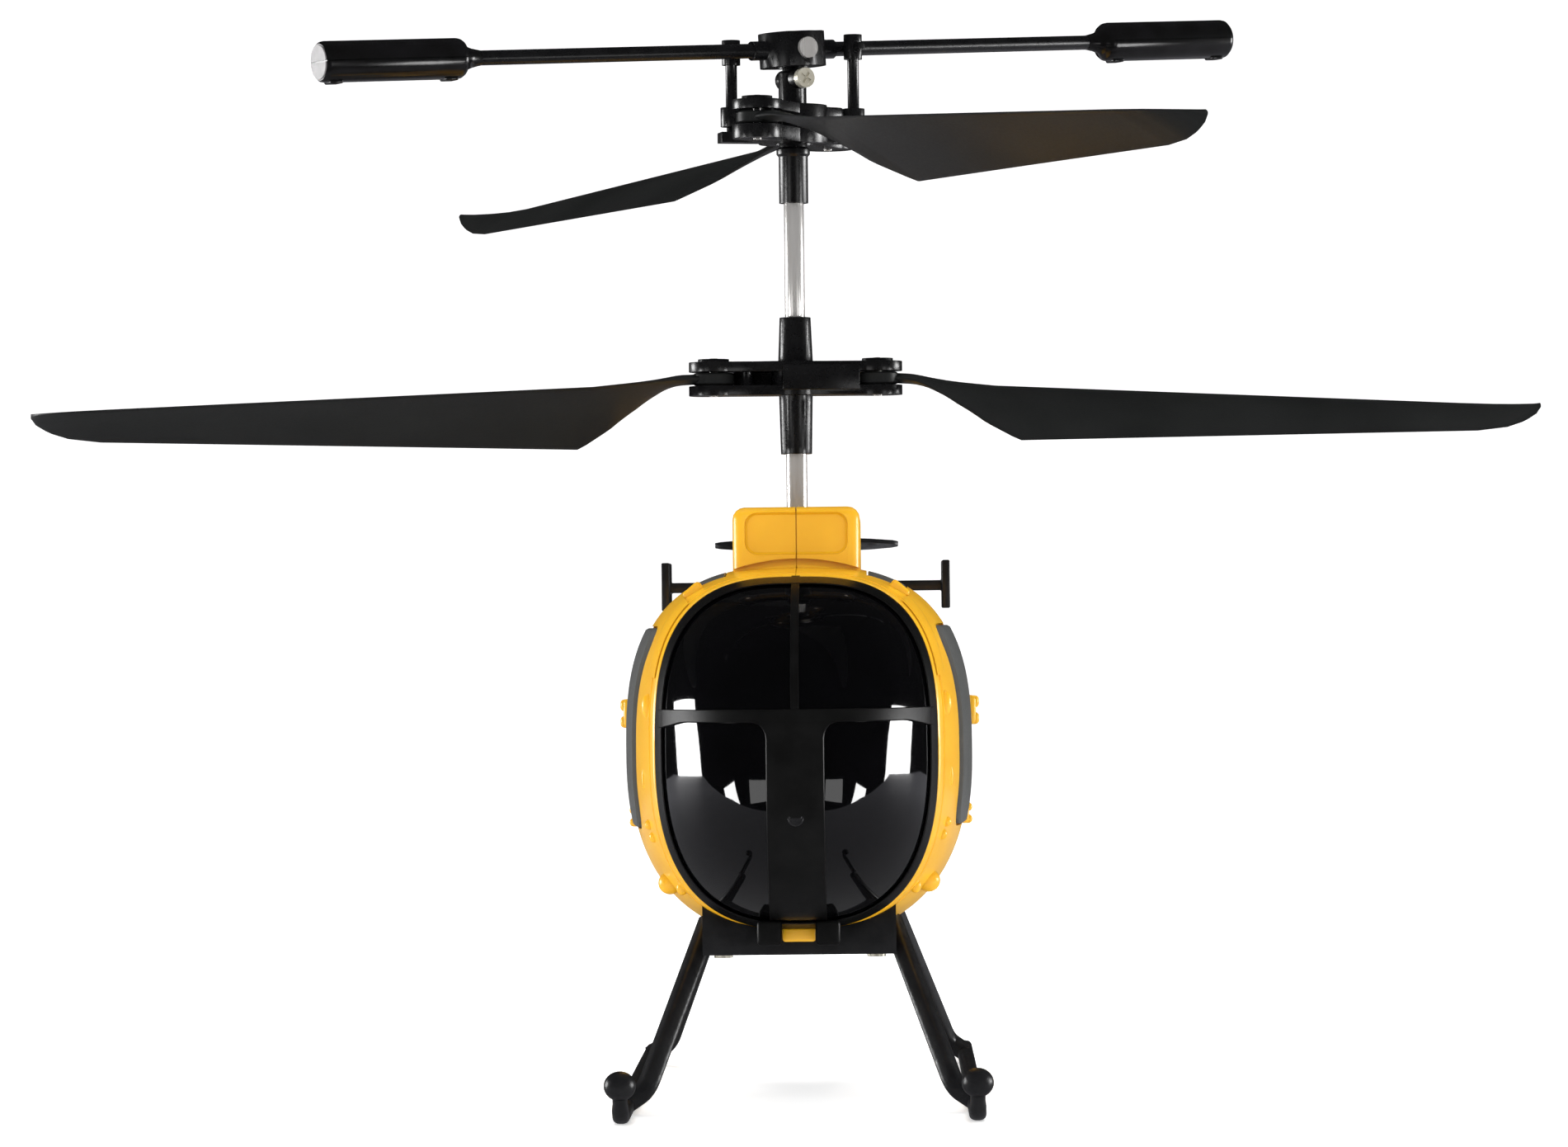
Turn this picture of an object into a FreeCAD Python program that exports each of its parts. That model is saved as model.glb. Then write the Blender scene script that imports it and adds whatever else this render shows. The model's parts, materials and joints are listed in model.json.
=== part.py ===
import FreeCAD, Part
import math
import os
import Sketcher
from FreeCAD import Placement, Rotation, Vector

# Toy coaxial helicopter: two contra-rotating two-blade rotors, a flybar, an egg-shaped cabin on skids.
# Frame: X to the helicopter's left-hand side, Y towards the tail, Z up, origin on the floor under the
# middle of the box that holds it. The nose points along -Y. Millimetres.

doc = FreeCAD.newDocument("toy_helicopter")
sheet = doc.addObject("Spreadsheet::Sheet", "Sizes")

SIZES = [
    ("mast_y", -17.8, "mast axis, along Y"),
    # cabin
    ("pod_nose", 42.0, "length of the rounded front, ahead of the widest station"),
    ("pod_tail", 58.0, "length of the tapering rear"),
    ("pod_station", -4.0, "widest station, from the mast"),
    ("pod_half_width", 21.0, "half the greatest width"),
    ("pod_top", 65.8, "height of the roof"),
    ("pod_bottom", 19.8, "height of the belly"),
    ("pod_middle", 41.0, "height of the nose tip and of the greatest width"),
    ("boom_height", 53.5, "height of the boom's axis where it leaves the cabin"),
    ("boom_root_radius", 4.6, "boom radius at the cabin"),
    ("boom_tip_radius", 2.4, "boom radius at the tail motor"),
    ("shell_wall", 1.2, "shell thickness"),
    ("glazing_wall", 0.8, "canopy thickness"),
    ("canopy_half_width", 17.1, "canopy opening, half width"),
    ("canopy_top", 64.2, "canopy opening, top"),
    ("canopy_bottom", 21.7, "canopy opening, bottom"),
    ("canopy_bar_height", 47.9, "cross bar's centre"),
    ("canopy_bar_width", 1.5, "cross bar's height"),
    ("canopy_centre_bar", 6.6, "width of the centre bar below the cross bar"),
    ("canopy_strut", 1.0, "width of the centre strut above the cross bar"),
    ("canopy_border", 1.1, "width of the frame's border"),
    ("panel_step", 0.5, "depth of the door and roof panels' recess"),
    # mast fairing
    ("fairing_width", 15.7, "across"),
    ("fairing_top", 73.0, "height of its top"),
    ("fairing_front", -13.0, "front face, from the mast"),
    ("fairing_rear", 26.0, "rear end, from the mast"),
    # keel and landing gear
    ("keel_width", 23.4, "across"),
    ("keel_bottom", 18.7, "height of its underside"),
    ("keel_front", -25.0, "from the mast"),
    ("keel_rear", 28.0, "from the mast"),
    ("skid_offset", 21.0, "skid tube's axis from the centre plane"),
    ("skid_radius", 1.05, "skid tube"),
    ("skid_height", 0.95, "axis height: a flat strip touches the floor"),
    ("skid_front", -42.0, "front end of the straight, from the mast"),
    ("skid_rear", 59.0, "rear end, from the mast"),
    ("skid_ball_radius", 1.9, "ball on the turned-up front"),
    ("skid_ball_height", 4.7, "centre of that ball"),
    ("leg_radius", 1.2, "leg's half thickness"),
    # shafts
    ("inner_shaft_radius", 0.75, "carries the upper rotor"),
    ("tube_bore_radius", 0.83, "outer tube's bore"),
    ("tube_radius", 1.31, "outer tube"),
    ("spacer_radius", 1.25, "spacer tube between the rotors"),
    # rotors
    ("pin_radius_out", 10.3, "blade pins, from the mast axis"),
    ("blade_pin_radius", 0.55, "blade pins"),
    ("blade_bore_radius", 0.62, "hole in the blade's eye"),
    ("blade_eye_radius", 2.6, "blade's eye"),
    ("blade_eye_thickness", 1.5, "blade's eye"),
    ("blade_length", 84.6, "pin to tip"),
    ("blade_corner", 15.6, "pin to the trailing corner"),
    ("blade_corner_chord", 13.4, "pin line to the trailing corner"),
    ("blade_lead", 2.0, "pin line to the leading edge"),
    ("blade_tip_chord", 4.6, "pin line to the tip"),
    ("blade_pitch", 25.4, "pitch in degrees"),
    ("grip_half_length", 13.4, "mast axis to the grip's end"),
    ("grip_width", 5.2, "grip plates"),
    ("lower_hub_height", 89.25, "middle of the lower blade roots"),
    ("lower_arm_angle", 6.0, "lower hub, turned in plan"),
    ("lower_blade_rest", 4.0, "lower blades' fold at rest"),
    ("lower_droop", 2.4, "lower blades' droop in degrees"),
    ("upper_hub_height", 121.2, "middle of the upper blade roots"),
    ("upper_arm_angle", -114.5, "upper grips, turned in plan"),
    ("upper_blade_rest", 59.0, "upper blades' fold at rest"),
    ("upper_droop", 3.7, "upper blades' droop in degrees"),
    # flybar and links
    ("flybar_height", 130.4, "teeter axis"),
    ("flybar_angle", 211.0, "flybar, turned in plan"),
    ("flybar_tilt", 3.5, "teeter at rest"),
    ("flybar_half_length", 65.7, "mast axis to the end of a weight"),
    ("flybar_rod_radius", 0.92, "rod"),
    ("weight_length", 19.0, "flybar weight"),
    ("weight_radius", 2.5, "flybar weight"),
    ("link_reach", 7.5, "links' pegs, from the teeter axis"),
    ("link_offset", 2.3, "links, from the rod's axis"),
    ("peg_radius", 0.5, "link pegs and the teeter pin"),
    # drive
    ("gear_module", 0.4, "tooth size"),
    ("gear_teeth", 48, "drive gears"),
    ("pinion_teeth", 10, "motor pinions"),
    ("motor_radius", 3.5, "coreless motor"),
    ("motor_length", 14.5, "coreless motor"),
    ("motor_offset", 11.7, "motor axes, from the mast"),
    ("motor_shaft_radius", 0.4, "motor shaft"),
    ("upper_gear_height", 38.0, "bottom of the gear that drives the upper rotor"),
    ("lower_gear_height", 43.0, "bottom of the gear that drives the lower rotor"),
    ("gear_thickness", 2.0, "drive gears"),
    # tail
    ("tail_motor_y", 97.0, "tail rotor's axis, from the mast"),
    ("tail_rotor_radius", 13.0, "tail rotor"),
    ("tail_rotor_height", 69.6, "tail rotor's middle"),
    ("stabiliser_y", 85.0, "stabiliser, from the mast"),
    ("stabiliser_height", 63.6, "stabiliser bar"),
    ("stabiliser_span", 40.1, "tip to tip"),
]
for row, (alias, value, note) in enumerate(SIZES, start=1):
    sheet.set(f"A{row}", alias)
    sheet.set(f"B{row}", str(value))
    sheet.setAlias(f"B{row}", alias)
    sheet.set(f"C{row}", note)
doc.recompute()

nodes = []


def size(alias):
    return float(sheet.get(alias))


def keep(item, label):
    """Names a finished sub-part. Its label is its file's name."""
    item.Label = label
    nodes.append(item)
    return item


def bind(item, **bindings):
    """Binds properties to expressions over the sheet. A double underscore stands for a dot."""
    for name, expression in bindings.items():
        item.setExpression(name.replace("__", "."), str(expression))
    return item


def place(item, x=0, y=0, z=0, angle=None):
    """Binds a placement. An angle turns the piece about its own vertical."""
    if angle is not None:
        item.Placement = Placement(Vector(), Rotation(Vector(0, 0, 1), 1))
        bind(item, Placement__Rotation__Angle=angle)
    return bind(item, Placement__Base__x=x, Placement__Base__y=y, Placement__Base__z=z)


def on_mast(item, z=0, angle=None):
    return place(item, 0, "Sizes.mast_y", z, angle)


def box(name, length, width, height, x=0, y=0, z=0):
    """A box centred on x and y, standing on z."""
    item = doc.addObject("Part::Box", name)
    bind(item, Length=length, Width=width, Height=height)
    return place(item, f"{x} - ({length}) / 2", f"{y} - ({width}) / 2", z)


def cylinder(name, radius, height, x=0, y=0, z=0, along=None):
    """A cylinder standing on z, or lying along a direction from that point."""
    item = doc.addObject("Part::Cylinder", name)
    bind(item, Radius=radius, Height=height)
    if along is not None:
        item.Placement = Placement(Vector(), Rotation(Vector(0, 0, 1), Vector(*along)))
    return place(item, x, y, z)


def cone(name, low_radius, high_radius, height, x=0, y=0, z=0):
    item = doc.addObject("Part::Cone", name)
    bind(item, Radius1=low_radius, Radius2=high_radius, Height=height)
    return place(item, x, y, z)


def sphere(name, radius, x=0, y=0, z=0):
    item = doc.addObject("Part::Sphere", name)
    bind(item, Radius=radius)
    return place(item, x, y, z)


def fuse(name, *pieces):
    item = doc.addObject("Part::MultiFuse", name)
    item.Shapes = list(pieces)
    return item


def common(name, *pieces):
    item = doc.addObject("Part::MultiCommon", name)
    item.Shapes = list(pieces)
    return item


def cut(name, base, *tools):
    """Takes the tools out of the base one after another."""
    for number, tool in enumerate(tools, start=1):
        item = doc.addObject("Part::Cut", name if number == len(tools) else f"{name}_step_{number}")
        item.Base = base
        item.Tool = tool
        base = item
    return base


def feature(name, shape):
    item = doc.addObject("Part::Feature", name)
    item.Shape = shape
    return item


def group(name, *pieces):
    """Identical separate solids that share one node."""
    item = doc.addObject("Part::Compound", name)
    item.Links = list(pieces)
    return item


def body(name, z=0, x=0, y="Sizes.mast_y", angle=None):
    item = doc.addObject("PartDesign::Body", name)
    return place(item, x, y, z, angle)


def sketch(owner, name, plane="XY_Plane", offset=None):
    item = owner.newObject("Sketcher::SketchObject", name)
    origin_plane = [f for f in owner.Origin.OriginFeatures if f.Role == plane][0]
    item.AttachmentSupport = [(origin_plane, "")]
    item.MapMode = "FlatFace"
    if offset is not None:
        bind(item, AttachmentOffset__Base__z=offset)
    return item


def add_circle(profile, radius, x=0.0, y=0.0):
    """A circle whose radius and centre are constraints bound to expressions."""
    edge = profile.addGeometry(Part.Circle(Vector(float(x), float(y), 0), Vector(0, 0, 1), 1.0), False)
    index = profile.addConstraint(Sketcher.Constraint("Radius", edge, 1.0))
    profile.setExpression(f"Constraints[{index}]", str(radius))
    if x == 0 and y == 0:
        profile.addConstraint(Sketcher.Constraint("Coincident", edge, 3, -1, 1))
    else:
        profile.addConstraint(Sketcher.Constraint("DistanceX", -1, 1, edge, 3, float(x)))
        profile.addConstraint(Sketcher.Constraint("DistanceY", -1, 1, edge, 3, float(y)))
    return edge


def revolved(name, outline, z=0, angle=None):
    """A turned piece: a PartDesign revolution about Z of (radius, height) points given as numbers."""
    owner = body(name, z, angle=angle)
    profile = sketch(owner, name + "_profile", "XZ_Plane")
    points = [Vector(r, h, 0) for r, h in outline]
    for start, end in zip(points, points[1:] + points[:1]):
        profile.addGeometry(Part.LineSegment(start, end), False)
    turned = owner.newObject("PartDesign::Revolution", name + "_turned")
    turned.Profile = profile
    turned.ReferenceAxis = (profile, ["V_Axis"])
    turned.Angle = 360
    return owner


# ---------------------------------------------------------------- cabin

def pod_section(station, offset):
    """Half width, top and bottom of the cabin at a station behind the mast, grown by an offset."""
    if station <= size("pod_station"):
        along = min((size("pod_station") - station) / (size("pod_nose") + offset), 0.9995)
        width = (size("pod_half_width") + offset) * (1 - along ** 2.2) ** (1 / 2.2)
        rise = (1 - along ** 2.4) ** (1 / 2.2)
        top = size("pod_middle") + (size("pod_top") + offset - size("pod_middle")) * rise
        bottom = size("pod_middle") - (size("pod_middle") - size("pod_bottom") + offset) * rise
        return width, top, bottom
    fade = math.cos(math.pi / 2 * (station - size("pod_station")) / size("pod_tail")) ** 2
    end = size("boom_root_radius") + offset
    width = end + (size("pod_half_width") + offset - end) * fade ** 0.75
    top = size("boom_height") + end + (size("pod_top") + offset - size("boom_height") - end) * fade
    low = size("boom_height") - end
    bottom = low - (low - size("pod_bottom") + offset) * fade ** 0.7
    return width, top, bottom


def pod_wire(station, offset):
    """A closed rounded section: a superellipse, squarer above the middle than below it."""
    width, top, bottom = pod_section(station, offset)
    middle = (top + bottom) / 2
    points = []
    for step in range(28):
        turn = 2 * math.pi * step / 28
        power = 2 / 2.8 if math.sin(turn) > 0 else 2 / 2.45
        across = math.copysign(abs(math.cos(turn)) ** power, math.cos(turn))
        up = math.copysign(abs(math.sin(turn)) ** power, math.sin(turn))
        points.append(Vector(width * across, station + size("mast_y"), middle + (top - bottom) / 2 * up))
    curve = Part.BSplineCurve()
    curve.interpolate(points, PeriodicFlag=True)
    return Part.Wire(curve.toShape())


def pod(offset):
    """The cabin's solid, grown or shrunk by an offset."""
    nose = size("pod_station") - size("pod_nose") - offset
    stations = [nose + step for step in (0.35, 1.6, 4.0, 8.0, 13.5, 20.5, 29.0)]
    stations += [size("pod_station") + size("pod_tail") * part for part in (0.0, 0.2, 0.4, 0.6, 0.8, 1.0)]
    return Part.makeLoft([pod_wire(station, offset) for station in stations], True, False)


def canopy_prism(shrink=0.0):
    """Everything ahead of the mast inside the canopy's outline: a superellipse seen from the front."""
    half_width, top, bottom = size("canopy_half_width"), size("canopy_top"), size("canopy_bottom")
    middle = (top + bottom) / 2 + 0.8
    points = []
    for step in range(32):
        turn = 2 * math.pi * step / 32
        power = 2 / 2.9 if math.sin(turn) > 0 else 2 / 2.6
        across = math.copysign(abs(math.cos(turn)) ** power, math.cos(turn))
        up = math.copysign(abs(math.sin(turn)) ** power, math.sin(turn))
        reach = (top - middle) if up > 0 else (middle - bottom)
        points.append(Vector((half_width - shrink) * across, MAST - 60, middle + (reach - shrink) * up))
    curve = Part.BSplineCurve()
    curve.interpolate(points, PeriodicFlag=True)
    return Part.Face(Part.Wire(curve.toShape())).extrude(Vector(0, 51, 0))


def centred_box(width, depth, height, x, y, z):
    """A plain box centred on x and y, standing on z."""
    return Part.makeBox(width, depth, height, Vector(x - width / 2, y - depth / 2, z))


def door_prism(side, shrink=0.0):
    """A door's rounded outline in the side view, driven in from one side."""
    length, height = 22.0 - 2 * shrink, 24.7 - 2 * shrink
    block = Part.makeBox(26, length, height, Vector(4, MAST - 21 + shrink, 33.8 + shrink))
    corners = [e for e in block.Edges if abs(e.tangentAt(e.FirstParameter).x) > 0.9]
    block = block.makeFillet(3.5 - shrink, corners)
    return block if side > 0 else block.mirror(Vector(), Vector(1, 0, 0))


def roof_prism(side, shrink=0.0):
    """A roof panel's outline in plan, driven down through the roof."""
    block = Part.makeBox(5.0 - 2 * shrink, 28 - 2 * shrink, 20, Vector(8.6 + shrink, MAST - 16 + shrink, 55))
    return block if side > 0 else block.mirror(Vector(), Vector(1, 0, 0))


MAST = size("mast_y")
WALL = size("shell_wall")
STEP = size("panel_step")
GAP = 0.2
SIDES = ((1, "left"), (-1, "right"))

pod_shape = pod(0.0)
pod_inner = pod(-WALL)
pod_recess = pod(-STEP)
pod_outer = feature("pod_outer", pod_shape)

# The shell's skin: recesses for the panels, then hollow, then open at the canopy and at the boom.
skin = pod_shape
for side, side_name in SIDES:
    skin = skin.cut(door_prism(side).cut(pod_recess))
    skin = skin.cut(roof_prism(side).cut(pod_recess))
boom_mouth = Vector(0, MAST + 44, size("boom_height") - 0.6)
boom_hole = Part.makeCylinder(size("boom_root_radius") - 1, 30, boom_mouth, Vector(0, 1, 0.12))
skin = skin.cut(pod_inner).cut(canopy_prism()).cut(boom_hole)

# The mast fairing: a rounded box with a recessed front panel, open to the roof below.
width, height = size("fairing_width"), size("fairing_top")
depth = size("fairing_rear") - size("fairing_front")
middle_y = MAST + (size("fairing_front") + size("fairing_rear")) / 2
fairing = centred_box(width, depth, height - 58, 0, middle_y, 58)
fairing = fairing.makeFillet(1.5, [e for e in fairing.Edges
                                   if e.BoundBox.ZMax > height - 0.01 or e.BoundBox.ZLength > 1])
fairing = fairing.cut(centred_box(width - 2 * WALL, depth - 2 * WALL, height - WALL - 50, 0, middle_y, 50))
panel = centred_box(12.4, 1.2, 5.1, 0, MAST + size("fairing_front"), 67.2)
panel = panel.makeFillet(1.5, [e for e in panel.Edges if e.BoundBox.YLength > 1])
fairing = fairing.cut(panel).cut(pod_inner)
mast_hole = Part.makeCylinder(1.7, 30, Vector(0, MAST, 60))
shell = skin.fuse(fairing).cut(mast_hole)
for side, side_name in SIDES:
    half = shell.common(centred_box(40, 150, 90, side * 20.01, MAST + 10, 5))
    for reach, tall, z in ((22.5, 4.0, 45.6), (21.5, 2.8, 33.3)):
        half = half.fuse(centred_box(3.0, 2.4, tall, side * (reach - 1.5), MAST + 2.4, z).cut(pod_recess))
    keep(feature(f"shell_{side_name}", half), f"fuselage_shell_{side_name}")

# Glazing, and the frame that lies on it: a border, a cross bar, a centre bar, a strut and two clips.
glazing = pod_shape.cut(pod(-size("glazing_wall"))).common(canopy_prism(0.1))
keep(feature("glazing", glazing), "canopy_glazing")
frame_skin = pod(0.35).cut(pod(0.02))
bar_height, bar_width = size("canopy_bar_height"), size("canopy_bar_width")
cross_bar = centred_box(34, 70, bar_width, 0, MAST - 40, bar_height - bar_width / 2)
centre_bar = centred_box(size("canopy_centre_bar"), 70, 30, 0, MAST - 40, bar_height - 30)
strut = centred_box(size("canopy_strut"), 70, 20, 0, MAST - 40, bar_height)
bars = cross_bar.fuse([centre_bar, strut]).common(canopy_prism(0.3))
border = canopy_prism(0.1).cut(canopy_prism(size("canopy_border")))
canopy_frame = frame_skin.common(border.fuse(bars))
for side, side_name in SIDES:
    clip = centred_box(3.0, 4.4, 3.6, side * 3.4, MAST - 27.3, 19.6).cut(pod(0.02))
    canopy_frame = canopy_frame.fuse(clip)
keep(feature("frame_moulding", canopy_frame), "canopy_frame")

# Door and roof panels, in their recesses.
door_skin = pod(0.45).cut(pod(0.02 - STEP))
roof_skin = pod_shape.cut(pod(0.02 - STEP))
for side, side_name in SIDES:
    keep(feature(f"door_{side_name}", door_skin.common(door_prism(side, GAP))), f"door_panel_{side_name}")
    keep(feature(f"roof_{side_name}", roof_skin.common(roof_prism(side, GAP))), f"roof_panel_{side_name}")

# Belly keel: a flat-bottomed block whose top follows the belly, with a pocket at its rear end.
keel_middle = "Sizes.mast_y + (Sizes.keel_front + Sizes.keel_rear) / 2"
keel_block = box("keel_block", "Sizes.keel_width", "Sizes.keel_rear - Sizes.keel_front", 14, 0,
                 keel_middle, "Sizes.keel_bottom")
keel_ends = feature("keel_ends", Part.makeBox(60, 12, 20, Vector(-30, 0, 0)))
keel_ends.Placement = Placement(Vector(0, MAST + size("keel_rear") + 1, 17), Rotation(Vector(1, 0, 0), 28))
keel_pocket = box("keel_pocket", 18, 13, 14, 0, "Sizes.mast_y + 17.5", "Sizes.keel_bottom + 1.2")
socket_x, switch_x, rear_y = 4.6, -4.6, MAST + 17.0
socket_hole = cylinder("socket_hole", 2.3, 4, socket_x, rear_y, "Sizes.keel_bottom - 1")
switch_slot = box("switch_slot", 2.0, 5.0, 4, switch_x, rear_y, "Sizes.keel_bottom - 1")
KEEL_SCREWS = [(x, MAST + y) for x in (-9.3, 9.3) for y in (-20.0, 25.0)]
screw_holes = [
    cylinder(f"keel_screw_hole_{n}", 0.75, 12, x, y, "Sizes.keel_bottom - 1")
    for n, (x, y) in enumerate(KEEL_SCREWS)
]
keep(cut("keel", keel_block, pod_outer, keel_ends, keel_pocket, socket_hole, switch_slot, *screw_holes),
     "belly_keel")


def screw(name, x, y, z, length, head_radius=1.15, head_height=0.55):
    """A small pan-head screw with a cross recess, its head down."""
    head = cylinder(name + "_head", head_radius, head_height, x, y, f"{z} - {head_height}")
    shank = cylinder(name + "_shank", 0.7, length, x, y, z)
    slots = [box(f"{name}_slot_{n}", a, b, 0.3, x, y, f"{z} - {head_height} - 0.05")
             for n, (a, b) in enumerate(((1.3, 0.3), (0.3, 1.3)))]
    return cut(name, fuse(name + "_blank", head, shank), *slots)


keep(group("case_screws", *[
    screw(f"keel_screw_{n}", x, y, size("keel_bottom"), 1.0 if y < 0 else 5.0)
    for n, (x, y) in enumerate(KEEL_SCREWS)
]), "case_screws")

# ---------------------------------------------------------------- landing gear


def bar(name, start, end, radius):
    """A round bar between two points."""
    start, end = Vector(*start), Vector(*end)
    run = end - start
    item = doc.addObject("Part::Cylinder", name)
    bind(item, Radius=radius)
    item.Height = run.Length
    item.Placement = Placement(start, Rotation(Vector(0, 0, 1), run))
    return item


floor_cut = box("floor_cut", 100, 200, 5, 0, 0, -5)
for side, side_name in SIDES:
    x = side * size("skid_offset")
    turn = 3.0
    front = MAST + size("skid_front")
    low = size("skid_height")
    path = Part.Wire([
        Part.LineSegment(Vector(x, MAST + size("skid_rear"), low), Vector(x, front, low)).toShape(),
        Part.Arc(Vector(x, front, low),
                 Vector(x, front - turn * math.sin(math.pi / 4), low + turn * (1 - math.cos(math.pi / 4))),
                 Vector(x, front - turn, low + turn)).toShape(),
    ])
    circle = Part.Wire(Part.Circle(Vector(x, MAST + size("skid_rear"), low), Vector(0, 1, 0),
                                   size("skid_radius")).toShape())
    tube = feature(f"skid_run_{side_name}", path.makePipeShell([circle], True, False))
    ball = sphere(f"skid_ball_{side_name}", "Sizes.skid_ball_radius", x, front - turn,
                  "Sizes.skid_ball_height")
    skid = cut(f"skid_{side_name}", fuse(f"skid_blank_{side_name}", tube, ball), floor_cut)
    keep(skid, f"skid_tube_{side_name}")
    for end_name, top_y, foot_y in (("front", -15.5, -30.0), ("rear", 21.0, 46.0)):
        name = f"{end_name}_leg_{side_name}"
        top = (side * 11.2, MAST + top_y, 22.4)
        knee = (side * 18.5, MAST + foot_y, 3.0)
        foot = (x, MAST + foot_y, low + 0.4)
        leg = fuse(name + "_bars", bar(name + "_upper", top, knee, "Sizes.leg_radius"),
                   sphere(name + "_knee", "Sizes.leg_radius", *knee),
                   bar(name + "_lower", knee, foot, "Sizes.leg_radius"))
        keel_side = box(name + "_keel", "Sizes.keel_width", 120, 30, 0, MAST, "Sizes.keel_bottom")
        keep(cut(name, leg, tube, pod_outer, keel_side), name)

# ---------------------------------------------------------------- gearbox, motors and electrics


def plate(name, half_width, front, rear, low, thickness, *holes):
    """A PartDesign plate with round holes given as (y from the mast, radius)."""
    owner = body(name, low)
    profile = sketch(owner, name + "_outline")
    corners = [Vector(-half_width, front, 0), Vector(half_width, front, 0),
               Vector(half_width, rear, 0), Vector(-half_width, rear, 0)]
    for start, end in zip(corners, corners[1:] + corners[:1]):
        profile.addGeometry(Part.LineSegment(start, end), False)
    for y, radius in holes:
        add_circle(profile, radius, 0, y)
    pad = owner.newObject("PartDesign::Pad", name + "_pad")
    pad.Profile = profile
    bind(pad, Length=thickness)
    return owner


LOWER_PLATE, UPPER_PLATE, TOP_PLATE = 33.0, 46.0, 59.0
offset = size("motor_offset")
lower_plate = plate("lower_plate", 13.0, -16.2, 14.0, LOWER_PLATE, 2.0,
                    (-offset, "Sizes.motor_radius"), (0, 1.6))
battery_tray = box("battery_tray", 14, 18.5, 0.9, 0, "Sizes.mast_y - 25.15", 27.4)
tray_wall = box("tray_wall", 16, 0.8, 7.6, 0, "Sizes.mast_y - 15.9", 27.4)
board_posts = [
    cylinder(f"board_post_{n}", 0.9, LOWER_PLATE - 29.4, x, MAST + y, 29.4)
    for n, (x, y) in enumerate((x, y) for x in (-6.8, 6.8) for y in (-3.5, 12.5))
]
cabin_space = feature("cabin_space", pod_inner)
stands = [
    common(f"stand_{n}", cabin_space, cylinder(f"stand_bar_{n}", 1.1, 14.0, x, MAST + y, LOWER_PLATE - 14.0))
    for n, (x, y) in enumerate((x, y) for x in (-10.3, 10.3) for y in (-4.0, 9.0))
]
keep(fuse("lower_frame", lower_plate, battery_tray, tray_wall, *board_posts, *stands), "gearbox_lower_frame")
upper_plate = plate("upper_plate", 13.0, -8.0, 16.5, UPPER_PLATE, 1.5, (offset, 1.2), (0, 1.7))
top_plate = plate("top_plate", 7.5, -5.0, 16.4, TOP_PLATE, 1.5, (offset, "Sizes.motor_radius"), (0, 2.2))
posts = [
    cylinder(f"post_{n}", 1.1, UPPER_PLATE - LOWER_PLATE - 2, x, MAST + y, LOWER_PLATE + 2)
    for n, (x, y) in enumerate((x, y) for x in (-11.6, 11.6) for y in (-6.0, 6.5))
]
pillars = [
    cylinder(f"pillar_{n}", 1.1, TOP_PLATE - UPPER_PLATE - 1.5, x, MAST + y, UPPER_PLATE + 1.5)
    for n, (x, y) in enumerate(((-6.2, 0.0), (6.2, 0.0)))
]
keep(fuse("upper_frame", upper_plate, top_plate, *posts, *pillars), "gearbox_upper_frame")


def ring(name, outer, bore, low, height, y="Sizes.mast_y"):
    return cut(name, cylinder(name + "_outer", outer, height, 0, y, low),
               cylinder(name + "_bore", bore, f"{height} + 2", 0, y, f"{low} - 1"))


keep(ring("lower_bearing", 1.6, "Sizes.inner_shaft_radius + 0.06", 32.6, 2.8), "lower_shaft_bush")
keep(ring("upper_bearing", 2.2, "Sizes.tube_radius + 0.06", 58.6, 2.6), "upper_shaft_bush")


def motor(name, y, low, shaft_up):
    """A coreless motor: a rounded can, a boss and its shaft."""
    owner = body(name, low, y=f"Sizes.mast_y + {y}")
    profile = sketch(owner, name + "_circle")
    add_circle(profile, "Sizes.motor_radius")
    can = owner.newObject("PartDesign::Pad", name + "_can")
    can.Profile = profile
    bind(can, Length="Sizes.motor_length")
    doc.recompute()
    rims = [f"Edge{n}" for n, e in enumerate(can.Shape.Edges, start=1) if e.Closed]
    rounding = owner.newObject("PartDesign::Chamfer", name + "_rims")
    rounding.Base = (can, rims)
    rounding.Size = 0.35
    boss_low = f"{low} + Sizes.motor_length - 0.1" if shaft_up else f"{low} - 0.5"
    boss = cylinder(name + "_boss", 0.9, 0.6, 0, f"Sizes.mast_y + {y}", boss_low)
    return fuse(name + "_can_and_boss", owner, boss)


keep(motor("front_motor_can", -offset, 22.0, True), "front_motor")
keep(motor("rear_motor_can", offset, 47.5, False), "rear_motor")


def gear(name, teeth, low, thickness, bore, hub_radius, hub_low, hub_height, x=0, y=0):
    """A spur gear: straight-flanked teeth with running clearance, and a plain hub."""
    module = size("gear_module")
    pitch = module * teeth / 2
    root, tip = pitch - 1.2 * module, pitch + 0.8 * module
    step = 2 * math.pi / teeth
    points = []
    for tooth in range(teeth):
        middle = tooth * step
        for radius, share in ((root, -0.25), (tip, -0.11), (tip, 0.11), (root, 0.25)):
            turn = middle + share * step
            points.append(Vector(radius * math.cos(turn), radius * math.sin(turn), 0))
    face = Part.Face(Part.makePolygon(points + points[:1]))
    profile = feature(name + "_profile", face)
    blank = doc.addObject("Part::Extrusion", name + "_teeth")
    blank.Base = profile
    blank.Dir = Vector(0, 0, 1)
    bind(blank, LengthFwd=thickness)
    blank.DirMode = "Custom"
    place(blank, x, y, low)
    hub = cylinder(name + "_hub", hub_radius, hub_height, x, y, hub_low)
    hole = cylinder(name + "_hole", bore, 20, x, y, f"{low} - 10")
    return cut(name, fuse(name + "_blank", blank, hub), hole)


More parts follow.
